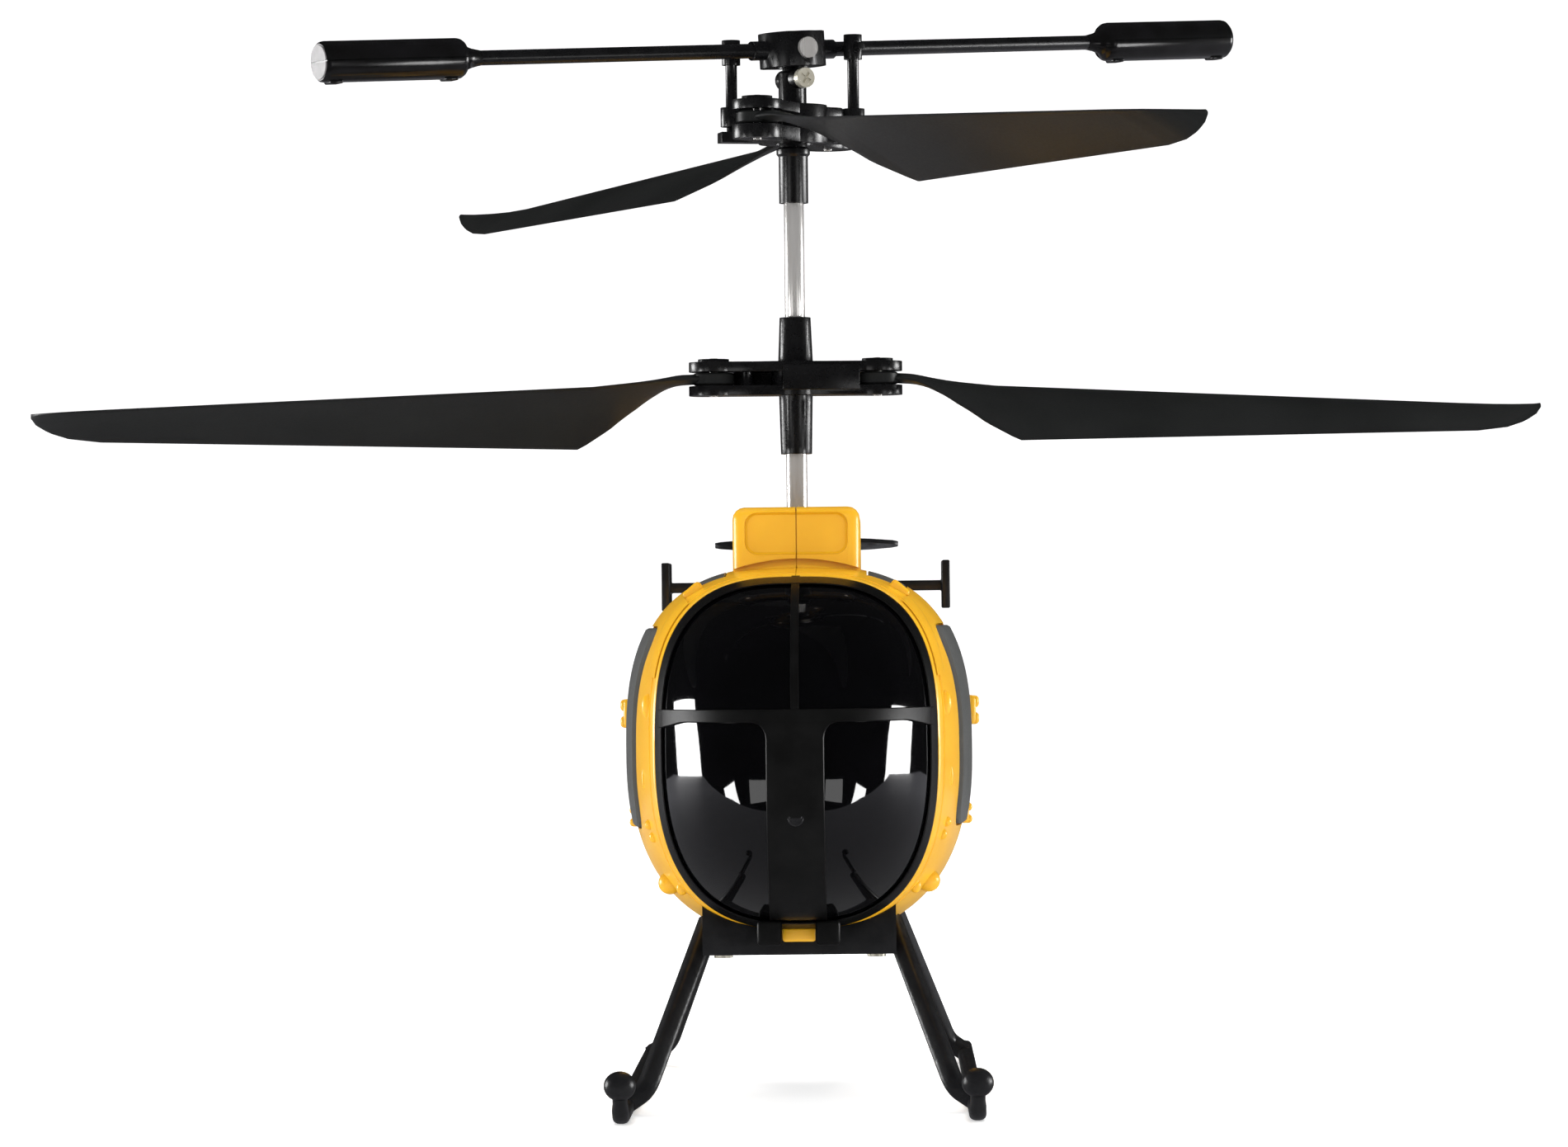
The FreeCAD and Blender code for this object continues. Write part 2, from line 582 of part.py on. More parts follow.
keep(gear("drive_gear_upper", int(size("gear_teeth")), "Sizes.upper_gear_height", "Sizes.gear_thickness",
          "Sizes.inner_shaft_radius", 2.2, 35.7, 4.9, 0, "Sizes.mast_y"), "upper_rotor_gear")
keep(gear("drive_gear_lower", int(size("gear_teeth")), "Sizes.lower_gear_height", "Sizes.gear_thickness",
          "Sizes.tube_radius", 2.6, 41.6, 4.0, 0, "Sizes.mast_y"), "lower_rotor_gear")
for name, y, low, shaft_low, shaft_high in (("front_pinion", -offset, 37.5, 36.0, 41.0),
                                            ("rear_pinion", offset, 42.5, 42.2, 47.9)):
    where = f"Sizes.mast_y + {y}"
    teeth = gear(name + "_gear", int(size("pinion_teeth")), low, 3.0, "Sizes.motor_shaft_radius",
                 1.2, low, 3.0, 0, where)
    spindle = cylinder(name + "_spindle", "Sizes.motor_shaft_radius", shaft_high - shaft_low, 0, where,
                       shaft_low)
    keep(fuse(name + "_and_spindle", teeth, spindle), name)

# The spindles turn in their motors: a blind hole in each boss.
for motor_label, y, low, height in (("front_motor", -offset, 35.9, 2), ("rear_motor", offset, 46.5, 1.6)):
    solid = [item for item in nodes if item.Label == motor_label][0]
    nodes.remove(solid)
    solid.Label = motor_label + "_solid"
    bored = cut(motor_label + "_bored", solid, cylinder(motor_label + "_bearing",
                "Sizes.motor_shaft_radius + 0.06", height, 0, f"Sizes.mast_y + {y}", low))
    keep(bored, motor_label)

battery = body("battery_pack", 28.35, y="Sizes.mast_y - 26.2")
battery_profile = sketch(battery, "battery_outline")
battery_corners = [Vector(-8, -9.5, 0), Vector(8, -9.5, 0), Vector(8, 9.5, 0), Vector(-8, 9.5, 0)]
for start, end in zip(battery_corners, battery_corners[1:] + battery_corners[:1]):
    battery_profile.addGeometry(Part.LineSegment(start, end), False)
battery_pad = battery.newObject("PartDesign::Pad", "battery_pad")
battery_pad.Profile = battery_profile
battery_pad.Length = 6.5
doc.recompute()
battery_rounding = battery.newObject("PartDesign::Fillet", "battery_rounding")
battery_rounding.Base = (battery_pad, [f"Edge{n}" for n in range(1, 13)])
battery_rounding.Radius = 1.0
keep(battery, "battery")

board = box("board", 16, 19, 1.0, 0, "Sizes.mast_y + 4.5", 28.4)
chips = [box(f"chip_{n}", w, l, 0.9, x, MAST + y, 29.4)
         for n, (w, l, x, y) in enumerate(((5, 5, -3, 1), (4, 3, 4, 8), (2, 1.2, 4.6, 0), (2, 1.2, -5, 10)))]
keep(fuse("board_and_chips", board, *chips), "receiver_board")
keep(fuse("receiver_dome", box("receiver_case", 5.0, 3.2, 3.2, 0, "Sizes.mast_y + 12.2", 29.4),
          sphere("receiver_lens", 1.4, 0, "Sizes.mast_y + 13.6", 31.0)), "infrared_receiver")
keep(cut("socket", cylinder("socket_can", 2.25, 6.0, socket_x, rear_y, "Sizes.keel_bottom"),
         cylinder("socket_bore", 1.25, 5.0, socket_x, rear_y, "Sizes.keel_bottom - 0.5")), "charge_socket")
keep(cut("switch_case", box("switch_block", 4.0, 8.0, 3.6, switch_x, rear_y, "Sizes.keel_bottom + 1.2"),
         box("switch_track", 1.9, 4.8, 1.5, switch_x, rear_y, "Sizes.keel_bottom + 1.1")), "power_switch_case")
keep(fuse("slider", box("slider_foot", 1.7, 2.4, 1.0, switch_x, rear_y - 1.1, "Sizes.keel_bottom + 1.35"),
          box("slider_nub", 1.5, 1.4, 2.6, switch_x, rear_y - 1.1, "Sizes.keel_bottom - 0.9")),
     "power_switch_slider")

# ---------------------------------------------------------------- tail

boom_start = Vector(0, MAST + size("pod_station") + size("pod_tail") - 3.0, size("boom_height"))
boom_end = Vector(0, MAST + size("tail_motor_y"), 61.6)
boom_run = boom_end - boom_start
boom_turn = Rotation(Vector(0, 0, 1), boom_run)
boom_tube = doc.addObject("Part::Cone", "boom_tube")
bind(boom_tube, Radius1="Sizes.boom_root_radius - 0.05", Radius2="Sizes.boom_tip_radius")
boom_tube.Height = boom_run.Length
boom_tube.Placement = Placement(boom_start, boom_turn)
boom_bore = doc.addObject("Part::Cone", "boom_bore")
bind(boom_bore, Radius1="Sizes.boom_root_radius - 0.9", Radius2="Sizes.boom_tip_radius - 0.8")
boom_bore.Height = boom_run.Length
boom_bore.Placement = Placement(boom_start, boom_turn)
tail_y = "Sizes.mast_y + Sizes.tail_motor_y"
tail_cup = cylinder("tail_cup", 4.0, 8.0, 0, tail_y, 58.0)
tail_cup_bore = cylinder("tail_cup_bore", 3.0, 10.0, 0, tail_y, 58.8)
saddle = box("saddle", 4.0, 7.0, 3.2, 0, "Sizes.mast_y + Sizes.stabiliser_y", "Sizes.stabiliser_height - 3.9")
bar_low = "Sizes.stabiliser_height - 0.7"
stabiliser = box("stabiliser_bar", "Sizes.stabiliser_span - 1", 9.0, 1.4, 0,
                 "Sizes.mast_y + Sizes.stabiliser_y", bar_low)
keep(cut("boom", fuse("boom_blank", boom_tube, tail_cup, saddle), boom_bore, tail_cup_bore, pod_outer,
         stabiliser), "tail_boom")
keep(cut("tail_can", cylinder("tail_can_body", 2.98, 8.4, 0, tail_y, 58.85),
         cylinder("tail_can_hole", 0.46, 3, 0, tail_y, 65.2)), "tail_motor")
end_plates = [
    box(f"end_plate_{n}", 1.1, 11.0, 6.7, f"{side} * (Sizes.stabiliser_span / 2 - 0.55)",
        "Sizes.mast_y + Sizes.stabiliser_y", "Sizes.stabiliser_height - 3.2")
    for n, side in enumerate((-1, 1))
]
keep(fuse("stabiliser", stabiliser, *end_plates), "horizontal_stabiliser")
fin_points = [(91.0, 57.6), (103.0, 57.6), (111.5, 43.0), (104.5, 43.0)]
fin_face = Part.Face(Part.makePolygon([Vector(-0.5, MAST + y, z) for y, z in fin_points + fin_points[:1]]))
fin_plate = feature("fin_plate", fin_face.extrude(Vector(1.0, 0, 0)))
keep(cut("fin", fin_plate, boom_tube), "tail_fin")


def tail_blade(name, turn):
    """One blade of the tail rotor: a short twisted paddle."""
    wires = []
    sections = ((1.0, 1.6, 30), (4.0, 3.4, 24), (9.0, 3.6, 16), (12.2, 2.4, 12), (13.0, 1.0, 11))
    for reach, chord, pitch in sections:
        twist = math.radians(pitch)
        along = Vector(0, math.cos(twist), -math.sin(twist))
        lift = Vector(0, math.sin(twist), math.cos(twist))
        middle = Vector(reach * size("tail_rotor_radius") / 13, 0, 0)
        corners = [middle + along * (chord / 2 * a) + lift * (0.3 * b)
                   for a, b in ((-1, -1), (1, -1), (1, 1), (-1, 1))]
        wires.append(Part.makePolygon(corners + corners[:1]))
    blade = Part.makeLoft(wires, True, True)
    blade.rotate(Vector(), Vector(0, 0, 1), turn)
    item = feature(name, blade)
    return place(item, 0, tail_y, "Sizes.tail_rotor_height")


tail_hub = cylinder("tail_hub", 1.5, 2.6, 0, tail_y, "Sizes.tail_rotor_height - 1.3")
tail_spindle = cylinder("tail_spindle", "Sizes.motor_shaft_radius", 4.2, 0, tail_y, 65.4)
keep(fuse("tail_prop", tail_hub, tail_spindle, tail_blade("tail_blade_1", 4), tail_blade("tail_blade_2", 184)),
     "tail_rotor")

# ---------------------------------------------------------------- lower rotor

tube_low, tube_high = 41.5, 96.0
tube_length = tube_high - tube_low
keep(on_mast(cut("tube", cylinder("tube_solid", "Sizes.tube_radius", tube_length, 0, 0, tube_low),
                 cylinder("tube_hole", "Sizes.tube_bore_radius", tube_length + 2, 0, 0, tube_low - 1))),
     "outer_shaft_tube")


def grip_plate(name, low, thickness):
    """A long plate with round ends, holed for the blade pins."""
    reach = size("pin_radius_out")
    end = size("grip_half_length") - reach
    width = size("grip_width")
    owner = doc.addObject("PartDesign::Body", name)
    bind(owner, Placement__Base__z=low)
    profile = sketch(owner, name + "_outline")
    neck = width / 2
    lean = math.sqrt(end ** 2 - neck ** 2)
    for sign in (1, -1):
        profile.addGeometry(Part.LineSegment(Vector(-(reach - lean), sign * neck, 0),
                                             Vector(reach - lean, sign * neck, 0)), False)
        profile.addGeometry(Part.Arc(Vector(sign * (reach - lean), -neck, 0),
                                     Vector(sign * (reach + end), 0, 0),
                                     Vector(sign * (reach - lean), neck, 0)), False)
        add_circle(profile, "Sizes.blade_pin_radius", sign * reach, 0)
    pad = owner.newObject("PartDesign::Pad", name + "_pad")
    pad.Profile = profile
    bind(pad, Length=thickness)
    return owner


hub_z = "Sizes.lower_hub_height"
hub_parts = [
    cone("lower_collar", 1.95, 2.12, 7.6, 0, 0, 79.8),
    cone("upper_collar", 2.18, 1.95, 5.6, 0, 0, 91.3),
    cylinder("hub_core", 3.1, 4.22, 0, 0, f"{hub_z} - 2.11"),
    grip_plate("lower_grip_low", f"{hub_z} - 2.11", 1.24),
    grip_plate("lower_grip_high", f"{hub_z} + 0.88", 1.24),
]
for n, sign in enumerate((1, -1)):
    hub_parts.append(box(f"hub_rail_{n}", 9.6, 1.7, 3.1, sign * 2.9, sign * -2.5, f"{hub_z} - 1.45"))
    hub_parts.append(cylinder(f"hub_post_{n}", 0.85, 3.0, sign * -6.2, 0, f"{hub_z} - 1.5"))
    hub_parts.append(cylinder(f"hub_boss_{n}", 1.95, 0.4, sign * 10.3, 0, f"{hub_z} + 2.1"))
hub_holes = [cylinder("hub_bore", "Sizes.tube_radius", 40, 0, 0, 70)]
hub_holes += [cylinder(f"boss_hole_{n}", "Sizes.blade_pin_radius", 10, f"{sign} * Sizes.pin_radius_out", 0,
                       f"{hub_z} - 5") for n, sign in enumerate((1, -1))]
keep(on_mast(cut("lower_hub", fuse("lower_hub_blank", *hub_parts), *hub_holes), 0, "Sizes.lower_arm_angle"),
     "lower_rotor_hub")
lower_pins = [
    cylinder(f"lower_pin_{n}", "Sizes.blade_pin_radius", 4.8, f"{sign} * Sizes.pin_radius_out", 0,
             f"{hub_z} - 2.2")
    for n, sign in enumerate((1, -1))
]
keep(on_mast(group("lower_pins", *lower_pins), 0, "Sizes.lower_arm_angle"), "lower_blade_pins")


# ---------------------------------------------------------------- blades

def blade_section(reach, lead, trail, thickness, pitch, drop, sign):
    """A thin cambered section: two shallow curves closed by blunt edges."""
    slope = math.tan(math.radians(pitch))
    chord = trail - lead
    camber = 0.05 * chord * min(1.0, pitch / 20)
    edge = min(thickness, 0.4) / 2

    def point(share, lift):
        across = lead + chord * share
        return Vector(reach, sign * across, -drop - (across - lead) * slope + lift)

    upper = Part.BezierCurve()
    upper.setPoles([point(0, edge), point(0.45, 2 * camber + thickness - edge), point(1, edge)])
    lower = Part.BezierCurve()
    lower.setPoles([point(1, -edge), point(0.45, 2 * camber - thickness + edge), point(0, -edge)])
    return Part.Wire([
        upper.toShape(),
        Part.makeLine(point(1, edge), point(1, -edge)),
        lower.toShape(),
        Part.makeLine(point(0, -edge), point(0, edge)),
    ])


def blade(name, droop, sign):
    """A rotor blade along +X from its pin. The sign puts the trailing edge to +Y or -Y."""
    length, corner = size("blade_length"), size("blade_corner")
    lead, wide, tip = size("blade_lead"), size("blade_corner_chord"), size("blade_tip_chord")
    full = size("blade_pitch")
    slope = math.tan(math.radians(droop))

    def trailing(reach):
        return wide + (tip - wide) * (reach - corner) / (length - corner)

    root = [(2.0, -1.7, 1.7, 1.3, 0.0), (4.4, -1.8, 2.0, 1.3, 5.0), (6.6, -1.9, 3.6, 1.2, 15.0),
            (9.0, -lead, 5.9, 1.1, 21.0), (12.0, -lead, 9.0, 1.0, full), (14.6, -lead, 12.4, 0.95, full),
            (corner, -lead, wide, 0.9, full)]
    tail = [(reach, -lead, trailing(reach), thin, full) for reach, thin in ((40.0, 0.85), (76.0, 0.75))]
    tail += [(80.0, -1.2, trailing(80.0), 0.7, full), (82.4, 0.3, trailing(82.4), 0.65, full),
             (84.0, 2.3, trailing(84.0), 0.6, full), (length, tip - 0.5, tip, 0.5, full)]
    wires = []
    for reach, front, back, thickness, pitch in root + tail:
        drop = 0.6 * min(1, max(0, reach - 4.4) / 11) + max(0, reach - 6) * slope
        wires.append(blade_section(reach, front, back, thickness, pitch, drop, sign))
    skin = Part.makeLoft(wires, True, True)
    eye = Part.makeCylinder(size("blade_eye_radius"), size("blade_eye_thickness"),
                            Vector(0, 0, -size("blade_eye_thickness") / 2))
    hole = Part.makeCylinder(size("blade_bore_radius"), 6, Vector(0, 0, -3))
    return feature(name, skin.fuse(eye).cut(hole).removeSplitter())


def fit_blade(label, arm_angle, fold, height, droop, sign):
    """Puts a blade's eye on its pin, turned from its arm by the fold."""
    item = blade(label + "_shape", droop, sign)
    arm = math.radians(arm_angle)
    reach = size("pin_radius_out")
    item.Placement = Placement(
        Vector(reach * math.cos(arm), MAST + reach * math.sin(arm), height),
        Rotation(Vector(0, 0, 1), arm_angle + fold))
    return keep(item, label)


for letter, half_turn in (("a", 180), ("b", 0)):
    fit_blade(f"lower_blade_{letter}", size("lower_arm_angle") + half_turn, size("lower_blade_rest"),
              size("lower_hub_height"), size("lower_droop"), -1)
for letter, half_turn in (("a", 0), ("b", 180)):
    fit_blade(f"upper_blade_{letter}", size("upper_arm_angle") + half_turn, size("upper_blade_rest"),
              size("upper_hub_height"), size("upper_droop"), 1)

# ---------------------------------------------------------------- upper rotor

keep(cylinder("inner_rod", "Sizes.inner_shaft_radius", 96.4, 0, "Sizes.mast_y", 31.0), "inner_shaft")
keep(ring("collar_ring", 1.8, "Sizes.inner_shaft_radius", 31.2, 1.2), "shaft_collar")
keep(ring("spacer", "Sizes.spacer_radius", "Sizes.inner_shaft_radius", 96.2, 15.0), "spacer_tube")
post_height = 111.2
post_outline = [
    (0.0, post_height), (1.83, post_height), (1.83, 117.0), (2.1, 117.3), (2.1, 117.9), (1.75, 118.2),
    (1.75, 127.4), (1.25, 127.7), (1.25, 131.6), (0.95, 131.9), (0.0, 131.9),
]
post = revolved("post", post_outline)
post.Placement = Placement(Vector(0, MAST, 0), Rotation())
across = math.radians(size("flybar_angle") + 90)
across_dir = (math.cos(across), math.sin(across), 0)
grip_angle = math.radians(size("upper_arm_angle"))
grip_dir = (math.cos(grip_angle), math.sin(grip_angle), 0)
grip_back = (-grip_dir[0], -grip_dir[1], 0)


def from_mast(direction, reach):
    return direction[0] * reach, MAST + direction[1] * reach


trunnions = [cylinder(f"trunnion_{n}", 0.5, 3.7, 0, "Sizes.mast_y", "Sizes.upper_hub_height", along=way)
             for n, way in enumerate((grip_dir, grip_back))]
CLAMP_HEIGHT = 126.7
clamp_boss = cylinder("clamp_boss", 1.3, 2.5, 0, "Sizes.mast_y", CLAMP_HEIGHT, along=across_dir)
clamp_lug = cylinder("clamp_lug", 1.3, 2.1, 0, "Sizes.mast_y", CLAMP_HEIGHT,
                     along=(-across_dir[0], -across_dir[1], 0))
pin_start = from_mast(across_dir, -5)
keep(cut("head_post", fuse("post_blank", post, clamp_boss, clamp_lug, *trunnions),
         cylinder("post_bore", "Sizes.inner_shaft_radius", 17.4, 0, "Sizes.mast_y", 110),
         cylinder("clamp_hole", 0.5, 6, 0, "Sizes.mast_y", CLAMP_HEIGHT, along=across_dir),
         cylinder("teeter_hole", "Sizes.peg_radius + 0.06", 10, pin_start[0], pin_start[1],
                  "Sizes.flybar_height", along=across_dir)), "upper_head_post")
shank_start = from_mast(across_dir, size("inner_shaft_radius") + 0.02)
head_start = from_mast(across_dir, 2.5)
slot_start = from_mast(across_dir, 3.15)
cross = [box(f"clamp_slot_{n}", a, b, 0.4, 0, 0, 0) for n, (a, b) in enumerate(((1.5, 0.32), (0.32, 1.5)))]
cross_fused = fuse("clamp_cross", *cross)
cross_fused.Placement = Placement(Vector(slot_start[0], slot_start[1], CLAMP_HEIGHT),
                                  Rotation(Vector(0, 0, 1), Vector(*across_dir)))
keep(cut("clamp_screw", fuse("clamp_blank",
         cylinder("clamp_shank", 0.5, 2.0, shank_start[0], shank_start[1], CLAMP_HEIGHT, along=across_dir),
         cylinder("clamp_head", 1.25, 0.9, head_start[0], head_start[1], CLAMP_HEIGHT, along=across_dir)),
         cross_fused), "shaft_clamp_screw")

# The seesaw: two grip plates round a ring that rocks on the post's trunnions, with two pitch arms.
upper_z = "Sizes.upper_hub_height"
link_span = math.hypot(size("link_reach") * math.cos(math.radians(size("flybar_tilt"))), size("link_offset"))
link_turn = size("flybar_angle") - math.degrees(math.atan2(size("link_offset"), size("link_reach")))
arm_turn = link_turn - size("upper_arm_angle")
ring_block = cylinder("seesaw_ring", 4.3, 4.8, 0, 0, f"{upper_z} - 2.6")
seesaw_parts = [ring_block, grip_plate("upper_grip_low", f"{upper_z} - 2.6", 1.7),
                grip_plate("upper_grip_high", f"{upper_z} + 1.0", 1.2)]
for n, sign in enumerate((1, -1)):
    seesaw_parts.append(cylinder(f"seesaw_boss_{n}", 1.9, 0.45, sign * 10.3, 0, f"{upper_z} + 2.2"))
    turn = math.radians(arm_turn) + (0 if sign > 0 else math.pi)
    arm = box(f"pitch_arm_{n}", 6.8, 2.6, 1.3, 0, 0, 0)
    start = 2.6 * Vector(math.cos(turn), math.sin(turn), 0) + 1.3 * Vector(math.sin(turn), -math.cos(turn), 0)
    place(arm, start.x, start.y, f"{upper_z} - 2.5", math.degrees(turn))
    seesaw_parts.append(arm)
    seesaw_parts.append(cylinder(f"pitch_peg_{n}", 0.65, 3.1, link_span * math.cos(turn),
                                 link_span * math.sin(turn), f"{upper_z} - 2.4"))
seesaw_holes = [
    cylinder("seesaw_hole", 2.45, 20, 0, 0, 110),
    cylinder("trunnion_bore", 0.56, 9.2, -4.6, 0, upper_z, along=(1, 0, 0)),
]
seesaw_holes += [
    cylinder(f"seesaw_pin_hole_{n}", "Sizes.blade_pin_radius", 12, f"{sign} * Sizes.pin_radius_out", 0,
             f"{upper_z} - 5")
    for n, sign in enumerate((1, -1))
]
keep(on_mast(cut("seesaw", fuse("seesaw_blank", *seesaw_parts), *seesaw_holes), 0, "Sizes.upper_arm_angle"),
     "upper_grip_seesaw")
upper_pins = [
    cylinder(f"upper_pin_{n}", "Sizes.blade_pin_radius", 5.5, f"{sign} * Sizes.pin_radius_out", 0,
             f"{upper_z} - 2.7")
    for n, sign in enumerate((1, -1))
]
keep(on_mast(group("upper_pins", *upper_pins), 0, "Sizes.upper_arm_angle"), "upper_blade_pins")

# ---------------------------------------------------------------- flybar and links

tilt = Rotation(Vector(0, 0, 1), size("flybar_angle")).multiply(Rotation(Vector(0, 1, 0), size("flybar_tilt")))
flybar_place = Placement(Vector(0, MAST, size("flybar_height")), tilt)


def on_flybar(item):
    item.Placement = flybar_place
    return item


weight_inner = size("flybar_half_length") - size("weight_length")
hub_box = box("flybar_hub_block", 9.0, 6.8, 4.3, 0, 0, -2.15)
hub_ring = cylinder("flybar_hub_ring", 3.7, 4.3, 0, 0, -2.15)
hub_round = cylinder("flybar_hub_round", 4.15, 4.3, 0, 0, -2.15)
rod_parts = [common("flybar_hub_shape", hub_box, hub_round), hub_ring]
for n, sign in enumerate((1, -1)):
    way = (sign, 0, 0)
    rod_parts.append(cylinder(f"rod_{n}", "Sizes.flybar_rod_radius", size("flybar_half_length") - 7.0,
                              sign * 4.0, 0, 0, along=way))
    rod_parts.append(cylinder(f"rod_neck_{n}", 1.2, 2.2, sign * 3.7, 0, 0, along=way))
    rod_parts.append(cylinder(f"link_peg_{n}", "Sizes.peg_radius", 4.4, sign * size("link_reach"), 0, 0,
                              along=(0, -sign, 0)))
keep(on_flybar(cut("flybar_moulding", fuse("flybar_blank", *rod_parts),
                   cylinder("flybar_slot", 2.0, 6, 0, 0, -3),
                   cylinder("flybar_pin_hole", "Sizes.peg_radius", 12, 0, -6, 0, along=(0, 1, 0)))), "flybar")
teeter_rod = cylinder("teeter_pin_rod", "Sizes.peg_radius", 7.6, 0, -3.6, 0, along=(0, 1, 0))
teeter_head = cylinder("teeter_pin_head", 1.3, 0.5, 0, 3.7, 0, along=(0, 1, 0))
keep(on_flybar(fuse("teeter_pin_parts", teeter_rod, teeter_head)), "teeter_pin")
for side_name, sign in (("near", 1), ("far", -1)):
    way = (sign, 0, 0)
    weight_blank = cylinder(f"weight_{side_name}_blank", "Sizes.weight_radius", "Sizes.weight_length",
                            sign * weight_inner, 0, 0, along=way)
    taper = doc.addObject("Part::Cone", f"weight_{side_name}_taper")
    bind(taper, Radius1=1.3, Radius2="Sizes.weight_radius", Height=1.6)
    taper.Placement = Placement(Vector(sign * (weight_inner - 1.6), 0, 0),
                                Rotation(Vector(0, 0, 1), Vector(*way)))
    bore_length = size("weight_length") + 1.0
    weight_bore = cylinder(f"weight_{side_name}_bore", "Sizes.flybar_rod_radius", bore_length,
                           sign * (weight_inner - 4), 0, 0, along=way)
    weight_body = fuse(f"weight_{side_name}_body", weight_blank, taper)
    keep(on_flybar(cut(f"weight_{side_name}", weight_body, weight_bore)), f"flybar_weight_{side_name}")

# Links: each hangs from a peg beside the rod and caps a peg on a pitch arm, with a little play.
peg_x = size("link_reach") * math.cos(math.radians(size("flybar_tilt")))
peg_drop = size("link_reach") * math.sin(math.radians(size("flybar_tilt")))
for side_name, sign in (("near", 1), ("far", -1)):
    x, y = sign * peg_x, -sign * size("link_offset")
    peg_z = size("flybar_height") - sign * peg_drop
    low = size("upper_hub_height") - 0.5
    head = cylinder(f"link_head_{side_name}", 1.15, 3.1, x, y, peg_z - 1.55)
    rod = cylinder(f"link_rod_{side_name}", 0.72, peg_z - low - 1.6, x, y, low + 1.6)
    cup = cylinder(f"link_cup_{side_name}", 1.4, 2.4, x, y, low)
    cup_bore = cylinder(f"link_cup_bore_{side_name}", 1.0, 2.4, x, y, low - 0.8)
    eye = cylinder(f"link_eye_{side_name}", "Sizes.peg_radius + 0.06", 6, x, y + 3, peg_z, along=(0, -1, 0))
    link = cut(f"link_{side_name}", fuse(f"link_{side_name}_blank", head, rod, cup), cup_bore, eye)
    keep(on_mast(link, 0, "Sizes.flybar_angle"), f"push_link_{side_name}")

# ---------------------------------------------------------------- build and write

doc.recompute()
faults = []
for item in doc.Objects:
    if any(flag in item.State for flag in ("Invalid", "Error")):
        faults.append(f"{item.Name} failed: {item.State}")
for item in nodes:
    if item.Shape.isNull() or not item.Shape.isValid() or item.Shape.Volume <= 0:
        faults.append(f"{item.Label} has no valid shape")
if faults:
    raise SystemExit("\n".join(faults))
os.makedirs("parts", exist_ok=True)
for item in nodes:
    item.Shape.exportStep(os.path.join("parts", item.Label + ".step"))
    print(f"{item.Label}: {len(item.Shape.Solids)} solids, {item.Shape.Volume:.1f} mm3")
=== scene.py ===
import json
import math

import bmesh
import bpy
from mathutils import Matrix, Quaternion, Vector


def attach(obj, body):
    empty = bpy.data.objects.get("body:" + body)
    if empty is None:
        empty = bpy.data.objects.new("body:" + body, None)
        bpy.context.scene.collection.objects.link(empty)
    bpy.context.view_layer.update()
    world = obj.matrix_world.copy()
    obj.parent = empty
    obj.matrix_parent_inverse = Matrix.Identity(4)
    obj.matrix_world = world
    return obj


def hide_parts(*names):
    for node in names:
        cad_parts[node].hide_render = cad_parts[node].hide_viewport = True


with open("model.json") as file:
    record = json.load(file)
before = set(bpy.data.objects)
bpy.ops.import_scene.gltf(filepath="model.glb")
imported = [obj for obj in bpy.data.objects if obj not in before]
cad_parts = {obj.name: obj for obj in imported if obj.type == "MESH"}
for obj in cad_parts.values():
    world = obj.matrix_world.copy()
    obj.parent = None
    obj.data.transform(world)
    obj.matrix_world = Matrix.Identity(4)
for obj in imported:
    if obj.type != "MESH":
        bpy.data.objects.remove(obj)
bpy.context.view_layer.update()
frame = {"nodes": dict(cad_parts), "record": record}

# Toy coaxial helicopter. Helpers take millimetres; meshes are stored in metres.
MM = 0.001
MAST = -17.8
SIDES = ((1, "left"), (-1, "right"))


# ---------------------------------------------------------------- materials

def new_material(name):
    made = bpy.data.materials.new(name)
    made.use_nodes = True
    made.node_tree.nodes.clear()
    return made, made.node_tree.nodes, made.node_tree.links


def noise(nodes, links, coords, scale, detail=4.0, stretch=(1, 1, 1)):
    mapping = nodes.new("ShaderNodeMapping")
    mapping.inputs["Scale"].default_value = stretch
    links.new(coords.outputs["Object"], mapping.inputs["Vector"])
    tex = nodes.new("ShaderNodeTexNoise")
    tex.inputs["Scale"].default_value = scale
    tex.inputs["Detail"].default_value = detail
    links.new(mapping.outputs["Vector"], tex.inputs["Vector"])
    return tex


